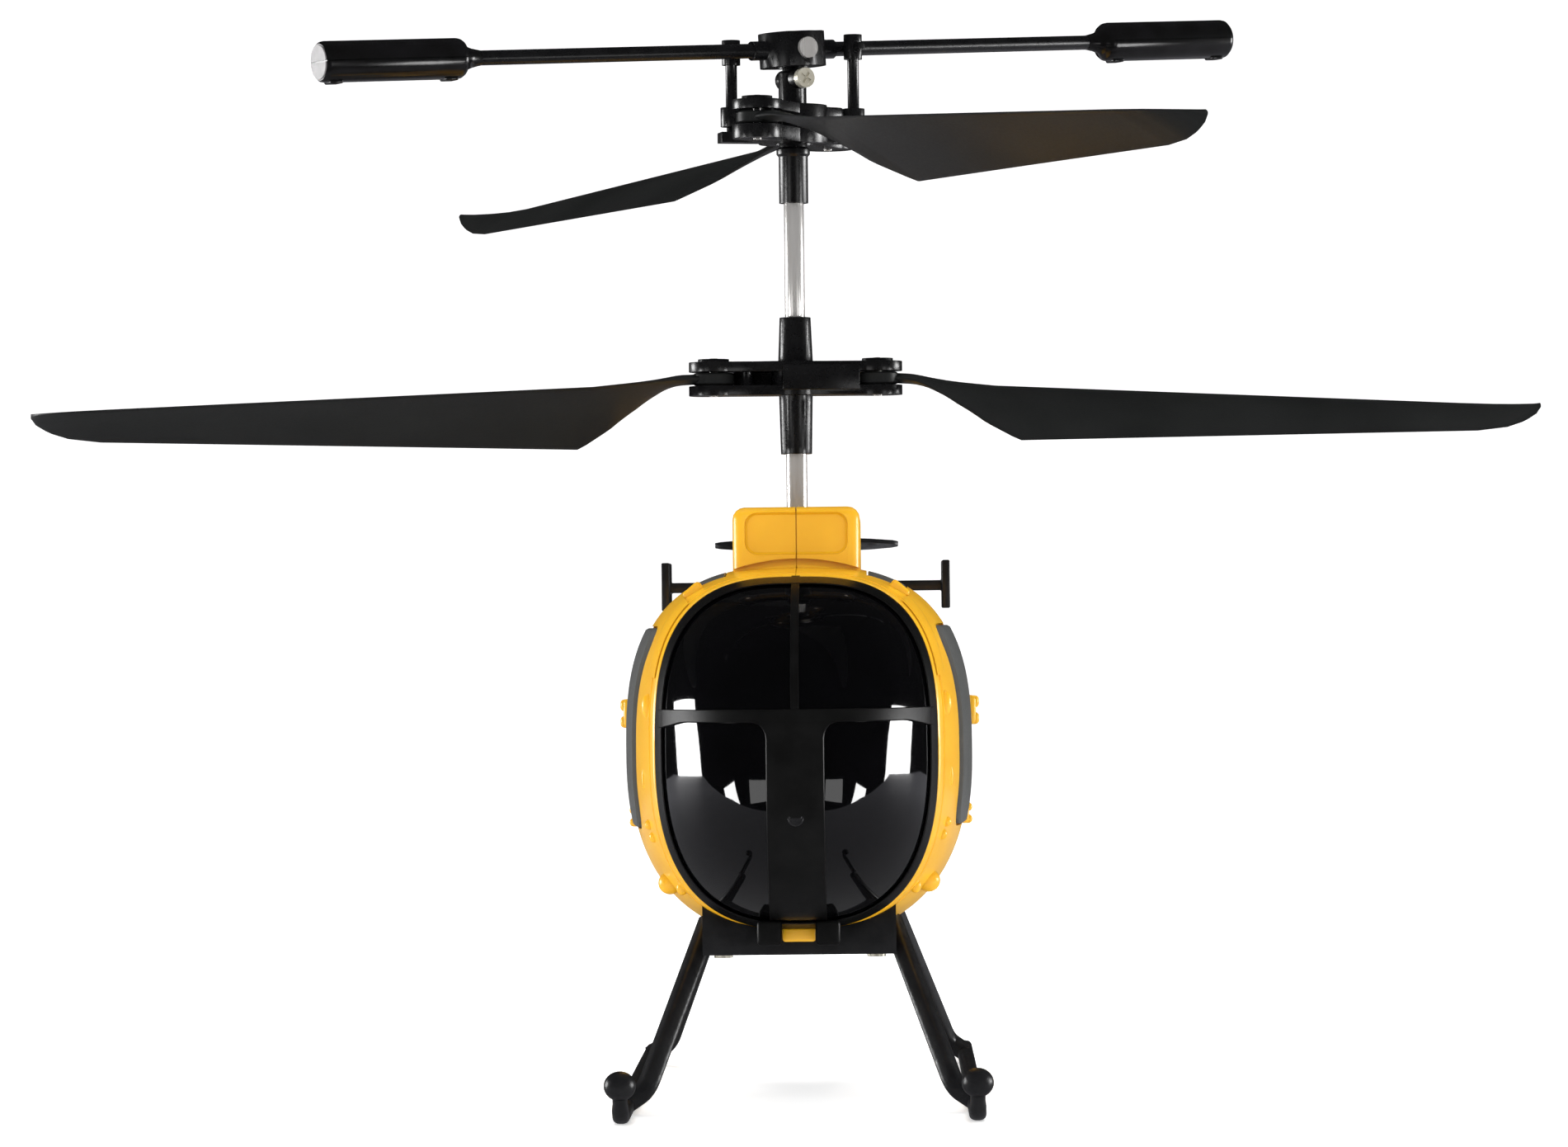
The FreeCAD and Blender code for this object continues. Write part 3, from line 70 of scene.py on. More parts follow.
def surface(name, colour, shade, rough, grain=(2600.0, 0.02), blotch=260.0, metallic=0.0, coat=0.0,
            coat_rough=0.05, specular=0.5, stretch=(1, 1, 1), subsurface=0.0):
    """A moulded or drawn surface: two tones in soft blotches, uneven roughness and a fine grain."""
    made, nodes, links = new_material(name)
    coords = nodes.new("ShaderNodeTexCoord")
    out = nodes.new("ShaderNodeOutputMaterial")
    shader = nodes.new("ShaderNodeBsdfPrincipled")
    links.new(shader.outputs["BSDF"], out.inputs["Surface"])
    shader.inputs["Metallic"].default_value = metallic
    shader.inputs["Coat Weight"].default_value = coat
    shader.inputs["Coat Roughness"].default_value = coat_rough
    shader.inputs["Specular IOR Level"].default_value = specular
    shader.inputs["Subsurface Weight"].default_value = subsurface
    shader.inputs["Subsurface Scale"].default_value = 0.0008
    broad = noise(nodes, links, coords, blotch, 3.0, stretch)
    tones = nodes.new("ShaderNodeValToRGB")
    tones.color_ramp.elements[0].position = 0.3
    tones.color_ramp.elements[0].color = (*shade, 1)
    tones.color_ramp.elements[1].position = 0.72
    tones.color_ramp.elements[1].color = (*colour, 1)
    links.new(broad.outputs["Fac"], tones.inputs["Fac"])
    links.new(tones.outputs["Color"], shader.inputs["Base Color"])
    fine = noise(nodes, links, coords, grain[0], 5.0, stretch)
    spread = nodes.new("ShaderNodeMapRange")
    spread.inputs["To Min"].default_value = rough[0]
    spread.inputs["To Max"].default_value = rough[1]
    links.new(fine.outputs["Fac"], spread.inputs["Value"])
    links.new(spread.outputs["Result"], shader.inputs["Roughness"])
    bump = nodes.new("ShaderNodeBump")
    bump.inputs["Strength"].default_value = 0.6
    bump.inputs["Distance"].default_value = grain[1] * MM
    links.new(fine.outputs["Fac"], bump.inputs["Height"])
    links.new(bump.outputs["Normal"], shader.inputs["Normal"])
    return made


def principled(material):
    return next(node for node in material.node_tree.nodes if node.type == "BSDF_PRINCIPLED")


LOOKS = {
    "cabin_shell": surface("shell_orange", (0.79, 0.42, 0.016), (0.73, 0.375, 0.012), (0.26, 0.4),
                           (3000.0, 0.006), 180.0, coat=0.15, subsurface=0.08),
    "smoked_glazing": surface("smoked_glazing", (0.0014, 0.0014, 0.0018), (0.0008, 0.0008, 0.001),
                              (0.03, 0.06), (900.0, 0.002), 120.0, coat=0.4, coat_rough=0.02),
    "canopy_frame_black": surface("frame_black", (0.005, 0.005, 0.005), (0.003, 0.003, 0.003), (0.34, 0.48),
                                  (3600.0, 0.01), 300.0, specular=0.2),
    "grey_panel": surface("panel_grey", (0.086, 0.088, 0.086), (0.072, 0.075, 0.073), (0.38, 0.52),
                          (3200.0, 0.012), 220.0),
    "gear_black": surface("gear_black", (0.011, 0.011, 0.012), (0.006, 0.006, 0.007), (0.24, 0.5),
                          (1800.0, 0.07), 420.0, specular=0.45),
    "rotor_black": surface("rotor_black", (0.006, 0.006, 0.0065), (0.003, 0.003, 0.0035), (0.22, 0.36),
                           (2600.0, 0.014), 380.0, specular=0.6),
    "blade_black": surface("blade_black", (0.012, 0.0125, 0.0125), (0.008, 0.0085, 0.0085), (0.34, 0.46),
                           (3000.0, 0.008), 60.0, specular=0.16),
    "weight_black": surface("weight_black", (0.005, 0.005, 0.0055), (0.003, 0.003, 0.003), (0.16, 0.28),
                            (2400.0, 0.008), 300.0, coat=0.1, specular=0.3),
    "shaft_steel": surface("shaft_steel", (0.8, 0.78, 0.76), (0.66, 0.64, 0.62), (0.2, 0.32),
                           (1500.0, 0.004), 500.0, metallic=0.68, stretch=(1, 1, 0.06)),
    "screw_nickel": surface("screw_nickel", (0.82, 0.79, 0.68), (0.66, 0.62, 0.5), (0.16, 0.32),
                            (2600.0, 0.006), 700.0, metallic=0.6),
    "frame_nylon": surface("frame_nylon", (0.03, 0.03, 0.033), (0.02, 0.02, 0.022), (0.4, 0.6),
                           (2400.0, 0.02), 260.0),
    "gear_white": surface("gear_acetal", (0.78, 0.77, 0.71), (0.7, 0.69, 0.62), (0.34, 0.5),
                          (2400.0, 0.01), 260.0, subsurface=0.15),
    "bush_brass": surface("bush_brass", (0.76, 0.56, 0.26), (0.62, 0.43, 0.18), (0.2, 0.36),
                          (2600.0, 0.008), 500.0, metallic=1.0),
    "motor_can": surface("motor_can", (0.64, 0.64, 0.65), (0.5, 0.5, 0.52), (0.22, 0.36),
                         (1800.0, 0.006), 300.0, metallic=1.0, stretch=(1, 1, 0.2)),
    "battery_wrap": surface("battery_foil", (0.6, 0.61, 0.65), (0.44, 0.45, 0.5), (0.3, 0.5),
                            (900.0, 0.06), 140.0, metallic=0.4),
    "circuit_board": surface("board_green", (0.012, 0.14, 0.05), (0.008, 0.09, 0.03), (0.24, 0.4),
                             (1600.0, 0.01), 600.0, coat=0.4),
    "receiver_dark": surface("receiver_epoxy", (0.018, 0.012, 0.016), (0.01, 0.006, 0.01), (0.12, 0.25),
                             (1600.0, 0.006), 300.0, coat=0.4),
}
# The weight's end face: its grey is a painted highlight that stands in for the light the end face catches.
CAP_PAINTED_HIGHLIGHT = surface("cap_painted_highlight", (0.17, 0.16, 0.165), (0.12, 0.115, 0.117), (0.3, 0.45),
                   (2600.0, 0.01), 500.0)
GATE_GREY = surface("gate_grey", (0.014, 0.014, 0.015), (0.009, 0.009, 0.01), (0.16, 0.3),
                    (2600.0, 0.008), 700.0)

slot_of = {entry["node"]: entry["material_slot"] for entry in frame["record"]["subparts"]}
body_of = {node: body for body, members in frame["record"]["behaviour"]["bodies"].items() for node in members}


# ---------------------------------------------------------------- mesh helpers

def finish_piece(item, body, slot, nodes=(), look=None):
    item.data.materials.clear()
    item.data.materials.append(look or LOOKS[slot])
    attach(item, body)
    if nodes:
        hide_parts(*nodes)
    return item


def shade(mesh, angle=32.0):
    mesh.shade_smooth()
    mesh.set_sharp_from_angle(angle=math.radians(angle))


def raw_object(name, points, faces, place=None, angle=32.0):
    """A closed mesh from points in millimetres, with doubles merged and normals outward."""
    mesh = bpy.data.meshes.new(name)
    moved = [(place @ Vector(p)) if place else Vector(p) for p in points]
    mesh.from_pydata([p * MM for p in moved], [], faces)
    work = bmesh.new()
    work.from_mesh(mesh)
    bmesh.ops.remove_doubles(work, verts=work.verts, dist=0.000002)
    bmesh.ops.dissolve_degenerate(work, edges=work.edges, dist=0.000001)
    bmesh.ops.recalc_face_normals(work, faces=work.faces)
    work.to_mesh(mesh)
    work.free()
    shade(mesh, angle)
    item = bpy.data.objects.new(name, mesh)
    bpy.context.scene.collection.objects.link(item)
    return item


def loft(rings, closed=False, caps=True):
    """Points and faces that join rings of equal length. An open loft's ends are closed with quads."""
    count = len(rings[0])
    points = [p for ring in rings for p in ring]
    faces = []
    spans = len(rings) if closed else len(rings) - 1
    for r in range(spans):
        low, high = r * count, ((r + 1) % len(rings)) * count
        for k in range(count):
            nxt = (k + 1) % count
            faces.append((low + k, low + nxt, high + nxt, high + k))
    if caps and not closed:
        for base in (0, (len(rings) - 1) * count):
            for k in range(count // 2):
                other = count - 1 - k
                if other - 1 > k:
                    faces.append((base + k, base + k + 1, base + other - 1, base + other))
    return points, faces


def lathe(name, profile, place=None, segments=48, angle=32.0):
    """A turned solid about local Z. The profile's ends lie on the axis, or it closes on itself."""
    solid = profile[0][0] == 0.0
    rings = []
    for step in range(segments):
        turn = 2 * math.pi * step / segments
        rings.append([(r * math.cos(turn), r * math.sin(turn), h) for r, h in profile])
    points = [p for ring in rings for p in ring]
    count = len(profile)
    faces = []
    for step in range(segments):
        low, high = step * count, ((step + 1) % segments) * count
        for k in range(count - 1 if solid else count):
            nxt = (k + 1) % count
            faces.append((low + k, low + nxt, high + nxt, high + k))
    return raw_object(name, points, faces, place, angle)


def block(name, size, centre, radius, place=None, segments=3):
    """A rounded block."""
    mesh = bpy.data.meshes.new(name)
    work = bmesh.new()
    bmesh.ops.create_cube(work, size=1.0)
    for vert in work.verts:
        vert.co = Vector(a * b + c for a, b, c in zip(vert.co, size, centre))
    bmesh.ops.bevel(work, geom=list(work.edges), offset=radius, segments=segments, profile=0.5,
                    affect="EDGES", clamp_overlap=True)
    for vert in work.verts:
        vert.co = (place @ vert.co if place else vert.co) * MM
    bmesh.ops.recalc_face_normals(work, faces=work.faces)
    work.to_mesh(mesh)
    work.free()
    shade(mesh)
    item = bpy.data.objects.new(name, mesh)
    bpy.context.scene.collection.objects.link(item)
    return item


def rounded_plate(name, wide, tall, thick, radius, middle):
    """A plate that faces the nose: a rounded rectangle, slightly wider at its front edge."""
    rings = []
    for depth, grow in ((-thick / 2, 0.1), (-0.1, 0.1), (thick / 2 - 0.25, 0.0), (thick / 2, -0.25)):
        ring = []
        for corner in range(4):
            for k in range(9):
                turn = math.pi / 2 * (corner + k / 8)
                right_hand = corner == 3 or (corner == 0 and k < 8)
                x = (wide / 2 - radius) * (1 if right_hand else -1)
                z = (tall / 2 - radius) * (1 if corner < 2 else -1)
                ring.append((middle[0] + x + (radius + grow) * math.cos(turn), middle[1] + depth,
                             middle[2] + z + (radius + grow) * math.sin(turn)))
        rings.append(ring)
    return raw_object(name, *loft(rings))


def rod(name, start, end, radius, segments=32, edge=0.12):
    """A round bar with eased ends between two points."""
    start, end = Vector(start), Vector(end)
    run = end - start
    turned = run.to_track_quat("Z", "Y").to_matrix().to_4x4()
    place = Matrix.Translation(start) @ turned
    length = run.length
    profile = [(0.0, 0.0), (radius - edge, 0.0), (radius, edge), (radius, length - edge),
               (radius - edge, length), (0.0, length)]
    return lathe(name, profile, place, segments)


def baked(item):
    """Applies the modifiers of an object to its mesh."""
    graph = bpy.context.evaluated_depsgraph_get()
    mesh = bpy.data.meshes.new_from_object(item.evaluated_get(graph))
    item.modifiers.clear()
    item.data = mesh
    return item


def boolean(item, tool, operation):
    step = item.modifiers.new(operation, "BOOLEAN")
    step.operation = operation
    step.solver = "EXACT"
    step.object = tool
    baked(item)
    bpy.data.objects.remove(tool)
    return item


def carve(item, *tools):
    for tool in tools:
        boolean(item, tool, "DIFFERENCE")
    shade(item.data)
    return item


def merge(item, *others):
    for other in others:
        boolean(item, other, "UNION")
    shade(item.data)
    return item


def joined(name, items):
    """Several solids of one moulding as one object."""
    work = bmesh.new()
    for item in items:
        work.from_mesh(item.data)
        bpy.data.objects.remove(item)
    mesh = bpy.data.meshes.new(name)
    work.to_mesh(mesh)
    work.free()
    shade(mesh)
    made = bpy.data.objects.new(name, mesh)
    bpy.context.scene.collection.objects.link(made)
    return made


def sweep(name, path, sections, up=(0, 0, 1), place=None):
    """A closed loft along a path. Each section is (half width, half height, corner power)."""
    rings = []
    for k, (point, (wide, tall, power)) in enumerate(zip(path, sections)):
        before, after = Vector(path[max(0, k - 1)]), Vector(path[min(len(path) - 1, k + 1)])
        along = (after - before).normalized()
        across = along.cross(Vector(up)).normalized()
        lift = across.cross(along).normalized()
        ring = []
        for step in range(24):
            turn = 2 * math.pi * (step + 0.5) / 24
            c, s = math.cos(turn), math.sin(turn)
            a = math.copysign(abs(c) ** (2 / power), c) * wide
            b = math.copysign(abs(s) ** (2 / power), s) * tall
            ring.append(tuple(Vector(point) + across * a + lift * b))
        rings.append(ring)
    points, faces = loft(rings)
    return raw_object(name, points, faces, place, 40.0)


# ---------------------------------------------------------------- cabin surface

# Stations are measured from the mast, negative towards the nose.
WIDEST, NOSE_REACH, TAIL_REACH = -4.0, 42.0, 58.0
HALF_WIDTH, CABIN_TOP, BELT, CABIN_LOW = 21.0, 65.8, 41.0, 19.8
BOOM_RADIUS, BOOM_HEIGHT = 4.6, 53.5
UPPER_POWER, LOWER_POWER = 2.8, 2.45


def section(s, off):
    """Half width, top and bottom of the cabin at a station behind the mast, grown by an offset."""
    if s <= WIDEST:
        along = min(max((WIDEST - s) / (NOSE_REACH + off), 0.0), 0.99999)
        width = (HALF_WIDTH + off) * (1 - along ** 2.2) ** (1 / 2.2)
        rise = (1 - along ** 2.4) ** (1 / 2.2)
        return width, BELT + (CABIN_TOP - BELT + off) * rise, BELT - (BELT - CABIN_LOW + off) * rise
    fade = math.cos(math.pi / 2 * min((s - WIDEST) / TAIL_REACH, 1.0)) ** 2
    end = BOOM_RADIUS + off
    width = end + (HALF_WIDTH + off - end) * fade ** 0.75
    top = BOOM_HEIGHT + end + (CABIN_TOP + off - BOOM_HEIGHT - end) * fade
    low = BOOM_HEIGHT - end
    return width, top, low - (low - CABIN_LOW + off) * fade ** 0.7


def pod_point(s, turn, off):
    width, top, bottom = section(s, off)
    c, v = math.cos(turn), math.sin(turn)
    power = 2 / (UPPER_POWER if v > 0 else LOWER_POWER)
    x = width * math.copysign(abs(c) ** power, c)
    z = (top + bottom) / 2 + (top - bottom) / 2 * math.copysign(abs(v) ** power, v)
    return x, s + MAST, z


def overshoot(x, z, s, off):
    """Negative inside the cabin's section at a station, positive outside it."""
    width, top, bottom = section(s, off)
    middle, half = (top + bottom) / 2, (top - bottom) / 2
    power = UPPER_POWER if z > middle else LOWER_POWER
    return abs(x / width) ** power + abs((z - middle) / half) ** power - 1


def bisect(test, low, high):
    """The value between low, where the test is positive, and high, where it is negative."""
    for _ in range(34):
        middle = (low + high) / 2
        if test(middle) > 0:
            low = middle
        else:
            high = middle
    return (low + high) / 2


def from_front(point, off):
    """Projects a front-view point (x, z) back onto the cabin's rounded front."""
    x, z = point
    s = bisect(lambda value: overshoot(x, z, value, off), WIDEST - NOSE_REACH - off, WIDEST)
    return x, s + MAST, z


def from_side(point, off, side):
    """Projects a side-view point (y, z) outward onto the cabin's flank."""
    y, z = point
    width, top, bottom = section(y - MAST, off)
    middle, half = (top + bottom) / 2, (top - bottom) / 2
    power = UPPER_POWER if z > middle else LOWER_POWER
    return side * width * (1 - min(abs((z - middle) / half), 0.999) ** power) ** (1 / power), y, z


def from_above(point, off, side):
    """Projects a plan point (x, y) up onto the cabin's roof."""
    x, y = point
    width, top, bottom = section(y - MAST, off)
    z = (top + bottom) / 2 + (top - bottom) / 2 * (1 - abs(x / width) ** UPPER_POWER) ** (1 / UPPER_POWER)
    return side * x, y, z


CANOPY = dict(half_width=17.1, top=64.5, bottom=21.7, middle=43.8)


def canopy_half(upper):
    """Corner power and reach from the middle of the canopy's upper or lower half."""
    if upper:
        return 2.9, CANOPY["top"] - CANOPY["middle"]
    return 2.6, CANOPY["middle"] - CANOPY["bottom"]


def canopy_outline(turn, shrink=0.0):
    """The canopy's outline in the front view."""
    c, v = math.cos(turn), math.sin(turn)
    power, reach = canopy_half(v > 0)
    x = (CANOPY["half_width"] - shrink) * math.copysign(abs(c) ** (2 / power), c)
    z = CANOPY["middle"] + (reach - shrink) * math.copysign(abs(v) ** (2 / power), v)
    return x, z


def outside_canopy(x, z):
    """Negative inside the canopy's outline, positive outside it."""
    power, reach = canopy_half(z > CANOPY["middle"])
    return abs(x / CANOPY["half_width"]) ** power + abs((z - CANOPY["middle"]) / reach) ** power - 1


def canopy_station(turn):
    """The station where the cabin's line at this turn meets the canopy's outline."""
    def test(s):
        x, _, z = pod_point(s, turn, 0.0)
        return -outside_canopy(x, z)
    return bisect(test, -45.6, WIDEST)


def strip(name, rows, project, low, high, columns=12, ease=0.12, angle=32.0):
    """A thin panel that follows the cabin: rows of (start, end) outline points, projected at two depths."""
    shares = [k / columns for k in range(columns + 1)]
    rings = []
    last = len(rows) - 1
    for k, (start, end) in enumerate(rows):
        tops, lows = [], []
        width = math.dist(start, end)
        for share in shares:
            point = tuple(a + (b - a) * share for a, b in zip(start, end))
            rim = k in (0, last) or share in (0.0, 1.0)
            tops.append(project(point, high - ease if rim else high))
            lows.append(project(point, low))
            if share == 0.0 or share == 1.0:
                inner = ease / width if share == 0.0 else 1 - ease / width
                near = tuple(a + (b - a) * inner for a, b in zip(start, end))
                extra = project(near, high - ease * 0.3 if k in (0, last) else high)
                under = project(near, low)
                if share == 0.0:
                    tops.append(extra)
                    lows.append(under)
                else:
                    tops.insert(-1, extra)
                    lows.insert(-1, under)
        rings.append(tops + lows[::-1])
    points, faces = loft(rings)
    return raw_object(name, points, faces, None, angle)


def rounded_rows(y_low, y_high, z_low, z_high, radius, steps=9, spans=14, ease=0.12):
    """Rows across a rounded rectangle, closer together round its corners."""
    ys = [y_low + radius * (1 - math.cos(math.pi / 2 * k / steps)) for k in range(steps + 1)]
    ys += [y_low + radius + (y_high - y_low - 2 * radius) * k / spans for k in range(1, spans)]
    ys += [y_high - radius * (1 - math.cos(math.pi / 2 * k / steps)) for k in range(steps, -1, -1)]
    ys.insert(1, y_low + ease)
    ys.insert(-1, y_high - ease)
    rows = []
    for y in sorted(set(round(v, 5) for v in ys)):
        inset = min(y - y_low, y_high - y)
        cut = radius - math.sqrt(max(radius ** 2 - max(radius - inset, 0.0) ** 2, 0.0))
        rows.append(((y, z_low + cut), (y, z_high - cut)))
    return rows


DOOR = (MAST - 21.0, MAST + 1.0, 33.8, 58.5)
ROOF = (8.6, 13.6, MAST - 16.0, MAST + 12.0)


def roof_rows(grow):
    x_low, x_high, y_low, y_high = ROOF
    return [((x_low - grow, y), (x_high + grow, y))
            for y in [y_low - grow + (y_high - y_low + 2 * grow) * k / 24 for k in range(25)]]


def door_rows(grow):
    y_low, y_high, z_low, z_high = DOOR
    return rounded_rows(y_low - grow, y_high + grow, z_low - grow, z_high + grow, 3.5 + grow)


# Trim on the shell. Hinge blocks: height, reach, tallness. Knobs: x, z, half width, half height.
# Tier: how far outside the canopy's outline and how far off the cabin each point of its section is.
HINGES = ((47.6, 22.3, 3.6), (34.7, 21.3, 2.6))
HINGE_Y = MAST + 2.4
KNOBS = ((15.7, 27.3, 1.45, 1.4), (18.5, 40.2, 0.3, 1.3), (17.9, 34.6, 0.65, 0.65),
         (17.4, 33.1, 0.6, 0.7), (17.9, 48.9, 0.8, 1.5), (14.1, 26.9, 0.7, 0.9))
TIER = ((-0.35, -0.4), (-0.35, 0.1), (-0.45, 0.2), (-1.15, 0.24), (-1.28, 0.14), (-1.3, -0.4))

for side, side_name in SIDES:
    # One half of the shell: each ring runs back along the outside and forward again along the inside.
    rings = []
    for step in range(97):
        turn = math.pi * (step / 96 - 0.5)
        edge = canopy_station(turn)
        path = [(edge + 0.02, -0.35), (edge + 0.1, -0.12), (edge + 0.3, -0.02), (edge + 0.6, 0.0),
                (edge + 1.5, 0.0), (edge + 1.62, -0.25), (edge + 1.95, -0.25), (edge + 2.07, 0.0)]
        start = edge + 2.07
        path += [(start + (WIDEST - start) * k / 16, 0.0) for k in range(1, 17)]
        path += [(WIDEST + 57.6 * k / 46, 0.0) for k in range(1, 47)]
        path += [(53.9, -0.12), (54.0, -0.35)]
        ring = [pod_point(s, turn, off) for s, off in path]
        ring += [pod_point(s, turn, -1.2) for s, _ in reversed(path)]
        rings.append([(side * max(x, 0.035), y, z) for x, y, z in ring])
    points, faces = loft(rings)
    shell = raw_object(f"fuselage_shell_{side_name}.shown", points, faces)
    carve(shell,
          strip("door_tool", door_rows(0.0), lambda p, off: from_side(p, off, side), -0.55, 2.0),
          strip("roof_tool", roof_rows(0.0), lambda p, off: from_above(p, off, side), -0.5, 2.0))
    finish_piece(shell, "fuselage", "cabin_shell", [f"fuselage_shell_{side_name}"])

    door = strip(f"door_panel_{side_name}.shown", door_rows(-0.24),
                 lambda p, off: from_side(p, off, side), -0.5, 0.45, 22, 0.2)
    finish_piece(door, "fuselage", "grey_panel", [f"door_panel_{side_name}"])
    roof = strip(f"roof_panel_{side_name}.shown", roof_rows(-0.18),
                 lambda p, off: from_above(p, off, side), -0.48, 0.02, 8, 0.12)
    finish_piece(roof, "fuselage", "grey_panel", [f"roof_panel_{side_name}"])

    # Moulded trim: hinge blocks by the door, knobs, a step and a raised band along the canopy's rim.
    trim = []
    for n, (z, reach, tall) in enumerate(HINGES):
        trim.append(block(f"hinge_{n}", (2.6, 2.4, tall), (side * (reach - 1.5), HINGE_Y, z), 0.5))
        for m, up in enumerate((0.28, -0.3)):
            trim.append(block(f"hinge_knob_{n}_{m}", (1.6, 1.8, tall * 0.42),
                              (side * (reach - 0.6), HINGE_Y, z + up * tall), 0.5))
    for n, (x, z, wide, tall) in enumerate(KNOBS):
        x_on, y_on, z_on = from_front((x, z), 0.0)
        profile = [(0.0, -tall)] + [(wide * math.cos(a), tall * math.sin(a))
                                    for a in (math.radians(d) for d in range(-75, 90, 15))] + [(0.0, tall)]
        trim.append(lathe(f"knob_{n}", profile, Matrix.Translation((side * x_on, y_on + 0.4, z_on)), 24))
    x_on, y_on, z_on = from_front((12.5, 62.6), 0.0)
    lean = (Matrix.Translation((side * x_on, y_on + 1.3, z_on))
            @ Matrix.Rotation(side * math.radians(40), 4, "Y"))
    trim.append(block("step", (2.6, 3.4, 1.6), (0, 0, 0), 0.4, lean))
    tier = []
    for k in range(31):
        turn = math.radians(15.5 + 34.0 * k / 30)
        ring = [from_front(canopy_outline(turn, shrink), off) for shrink, off in TIER]
        tier.append([(side * x, y, z) for x, y, z in ring])
    trim.append(raw_object("tier", *loft(tier)))
    finish_piece(joined(f"shell_trim_{side_name}", trim), "fuselage", "cabin_shell")

# Mast fairing, with its front panel, its seam and the mast's hole.
fairing = block("mast_fairing", (15.7, 39.0, 15.0), (0, MAST + 6.5, 65.5), 1.5, None, 4)
FAIRING_FRONT = MAST - 13.0
recess = rounded_plate("recess", 12.5, 5.1, 1.5, 1.5, (0, FAIRING_FRONT, 69.75))
groove_rings = []
for k in range(25):
    x, z = -8.2 + 16.4 * k / 24, 66.25 - 1.15 * (1.093 - 2.186 * k / 24) ** 2
    groove_rings.append([(x, FAIRING_FRONT + y, z + lift)
                         for y, lift in ((-1.0, -0.4), (-1.0, 0.4), (1.0, 0.4), (1.0, -0.4))])
lip_groove = raw_object("lip_groove", *loft(groove_rings))
seam = block("seam", (0.14, 60, 0.5), (0, MAST, 72.75), 0.01, None, 1)
seam_front = block("seam_front", (0.14, 2.3, 16), (0, FAIRING_FRONT, 66.0), 0.01, None, 1)
hole = rod("hole", (0, MAST, 66), (0, MAST, 80), 1.7)
carve(fairing, recess, lip_groove, seam, seam_front, hole)
finish_piece(fairing, "fuselage", "cabin_shell", ["fuselage_shell_left", "fuselage_shell_right"])

# Glazing: a domed sheet inside the shell's opening.
TURNS = [2 * math.pi * k / 128 for k in range(128)]
SHARES = [(k / 26) ** 0.9 for k in range(1, 27)]


def glazing_ring(share, off):
    ring = []
    for turn in TURNS:
        x, z = canopy_outline(turn, 0.12)
        ring.append(from_front((x * share, CANOPY["middle"] + (z - CANOPY["middle"]) * share), off))
    return ring


GLAZING_OUT, GLAZING_IN = -0.03, -0.8
rings = [glazing_ring(share, GLAZING_OUT) for share in SHARES]
rings += [glazing_ring(share, GLAZING_IN) for share in reversed(SHARES)]
points, faces = loft(rings, caps=False)
for first, off in ((0, GLAZING_OUT), (len(points) - len(TURNS), GLAZING_IN)):
    centre = len(points)
    points = points + [from_front((0.0, CANOPY["middle"]), off)]
    faces += [(first + k, first + (k + 1) % len(TURNS), centre) for k in range(len(TURNS))]
glazing = raw_object("canopy_glazing.shown", points, faces, None, 50.0)
finish_piece(glazing, "fuselage", "smoked_glazing", ["canopy_glazing"])

# Canopy frame: border, cross bar, centre bar with its flared top, strut, clips.
border_rings = []
for turn in [2 * math.pi * k / 192 for k in range(192)]:
    border_rings.append([from_front(canopy_outline(turn, shrink), off) for shrink, off in
                         ((0.14, -0.5), (0.14, 0.16), (0.24, 0.26), (0.92, 0.3), (1.06, 0.2), (1.12, -0.1))])
points, faces = loft(border_rings, closed=True)
border = raw_object("border", points, faces)


def half_canopy(z):
    """The canopy's half width at a height."""
    power, reach = canopy_half(z > CANOPY["middle"])
    return 16.9 * (1 - min(abs(z - CANOPY["middle"]) / reach, 1.0) ** power) ** (1 / power)


def bar_rows(x_low, x_high, count, low, high):
    xs = [x_low + (x_high - x_low) * k / count for k in range(count + 1)]
    return [((x, low(x)), (x, high(x))) for x in xs]


BAR_LOW, BAR_HIGH, BAR_REACH = 47.15, 48.65, half_canopy(47.9) - 0.4


def bar_edge(x):
    """The cross bar's lower edge, which widens towards its ends."""
    return BAR_LOW - 0.25 * max(abs(x) / BAR_REACH - 0.82, 0) * 18


cross = strip("cross", bar_rows(-BAR_REACH, BAR_REACH, 60, bar_edge, lambda x: BAR_HIGH),
              from_front, -0.4, 0.34, 6, 0.1)
flare_rows = []
for k in range(46):
    z = 23.2 + (47.4 - 23.2) * k / 45
    close = max(0.0, z - 45.2) / 2.2
    reach = 3.42 + 2.2 * (1 - math.sqrt(max(0.0, 1 - min(close, 1.0) ** 2)))
    flare_rows.append(((-reach, z), (reach, z)))
centre_bar = strip("centre_bar", flare_rows, from_front, -0.4, 0.4, 10, 0.1)
strut = strip("strut", [((-0.5, z), (0.5, z)) for z in [48.3 + 16.2 * k / 30 for k in range(31)]],
              from_front, -0.4, 0.26, 4, 0.06)
clips = []
for side in (1, -1):
    y_on = from_front((side * 3.5, 23.2), 0.2)[1]
    clips.append(block(f"clip_{side}", (3.0, 3.4, 3.0), (side * 3.5, y_on + 1.5, 21.6), 0.5))
canopy_frame = joined("canopy_frame.shown", [border, cross, centre_bar, strut] + clips)
finish_piece(canopy_frame, "fuselage", "canopy_frame_black", ["canopy_frame"])
_, y_on, z_on = from_front((0.0, 35.9), 0.4)
gate = lathe("gate_mark", [(0.0, -0.1), (0.85, -0.1), (0.95, 0.0), (0.85, 0.06), (0.7, 0.06),
                           (0.62, 0.0), (0.0, 0.0)],
             Matrix.Translation((0, y_on, z_on)) @ Matrix.Rotation(math.pi / 2, 4, "X"))
finish_piece(gate, "fuselage", "canopy_frame_black", (), GATE_GREY)
tab = block("chin_tab", (4.0, 2.2, 1.7), (0, from_front((0, 22.2), 0)[1] + 1.2, 21.2), 0.35)
finish_piece(tab, "fuselage", "cabin_shell")

# ---------------------------------------------------------------- blades

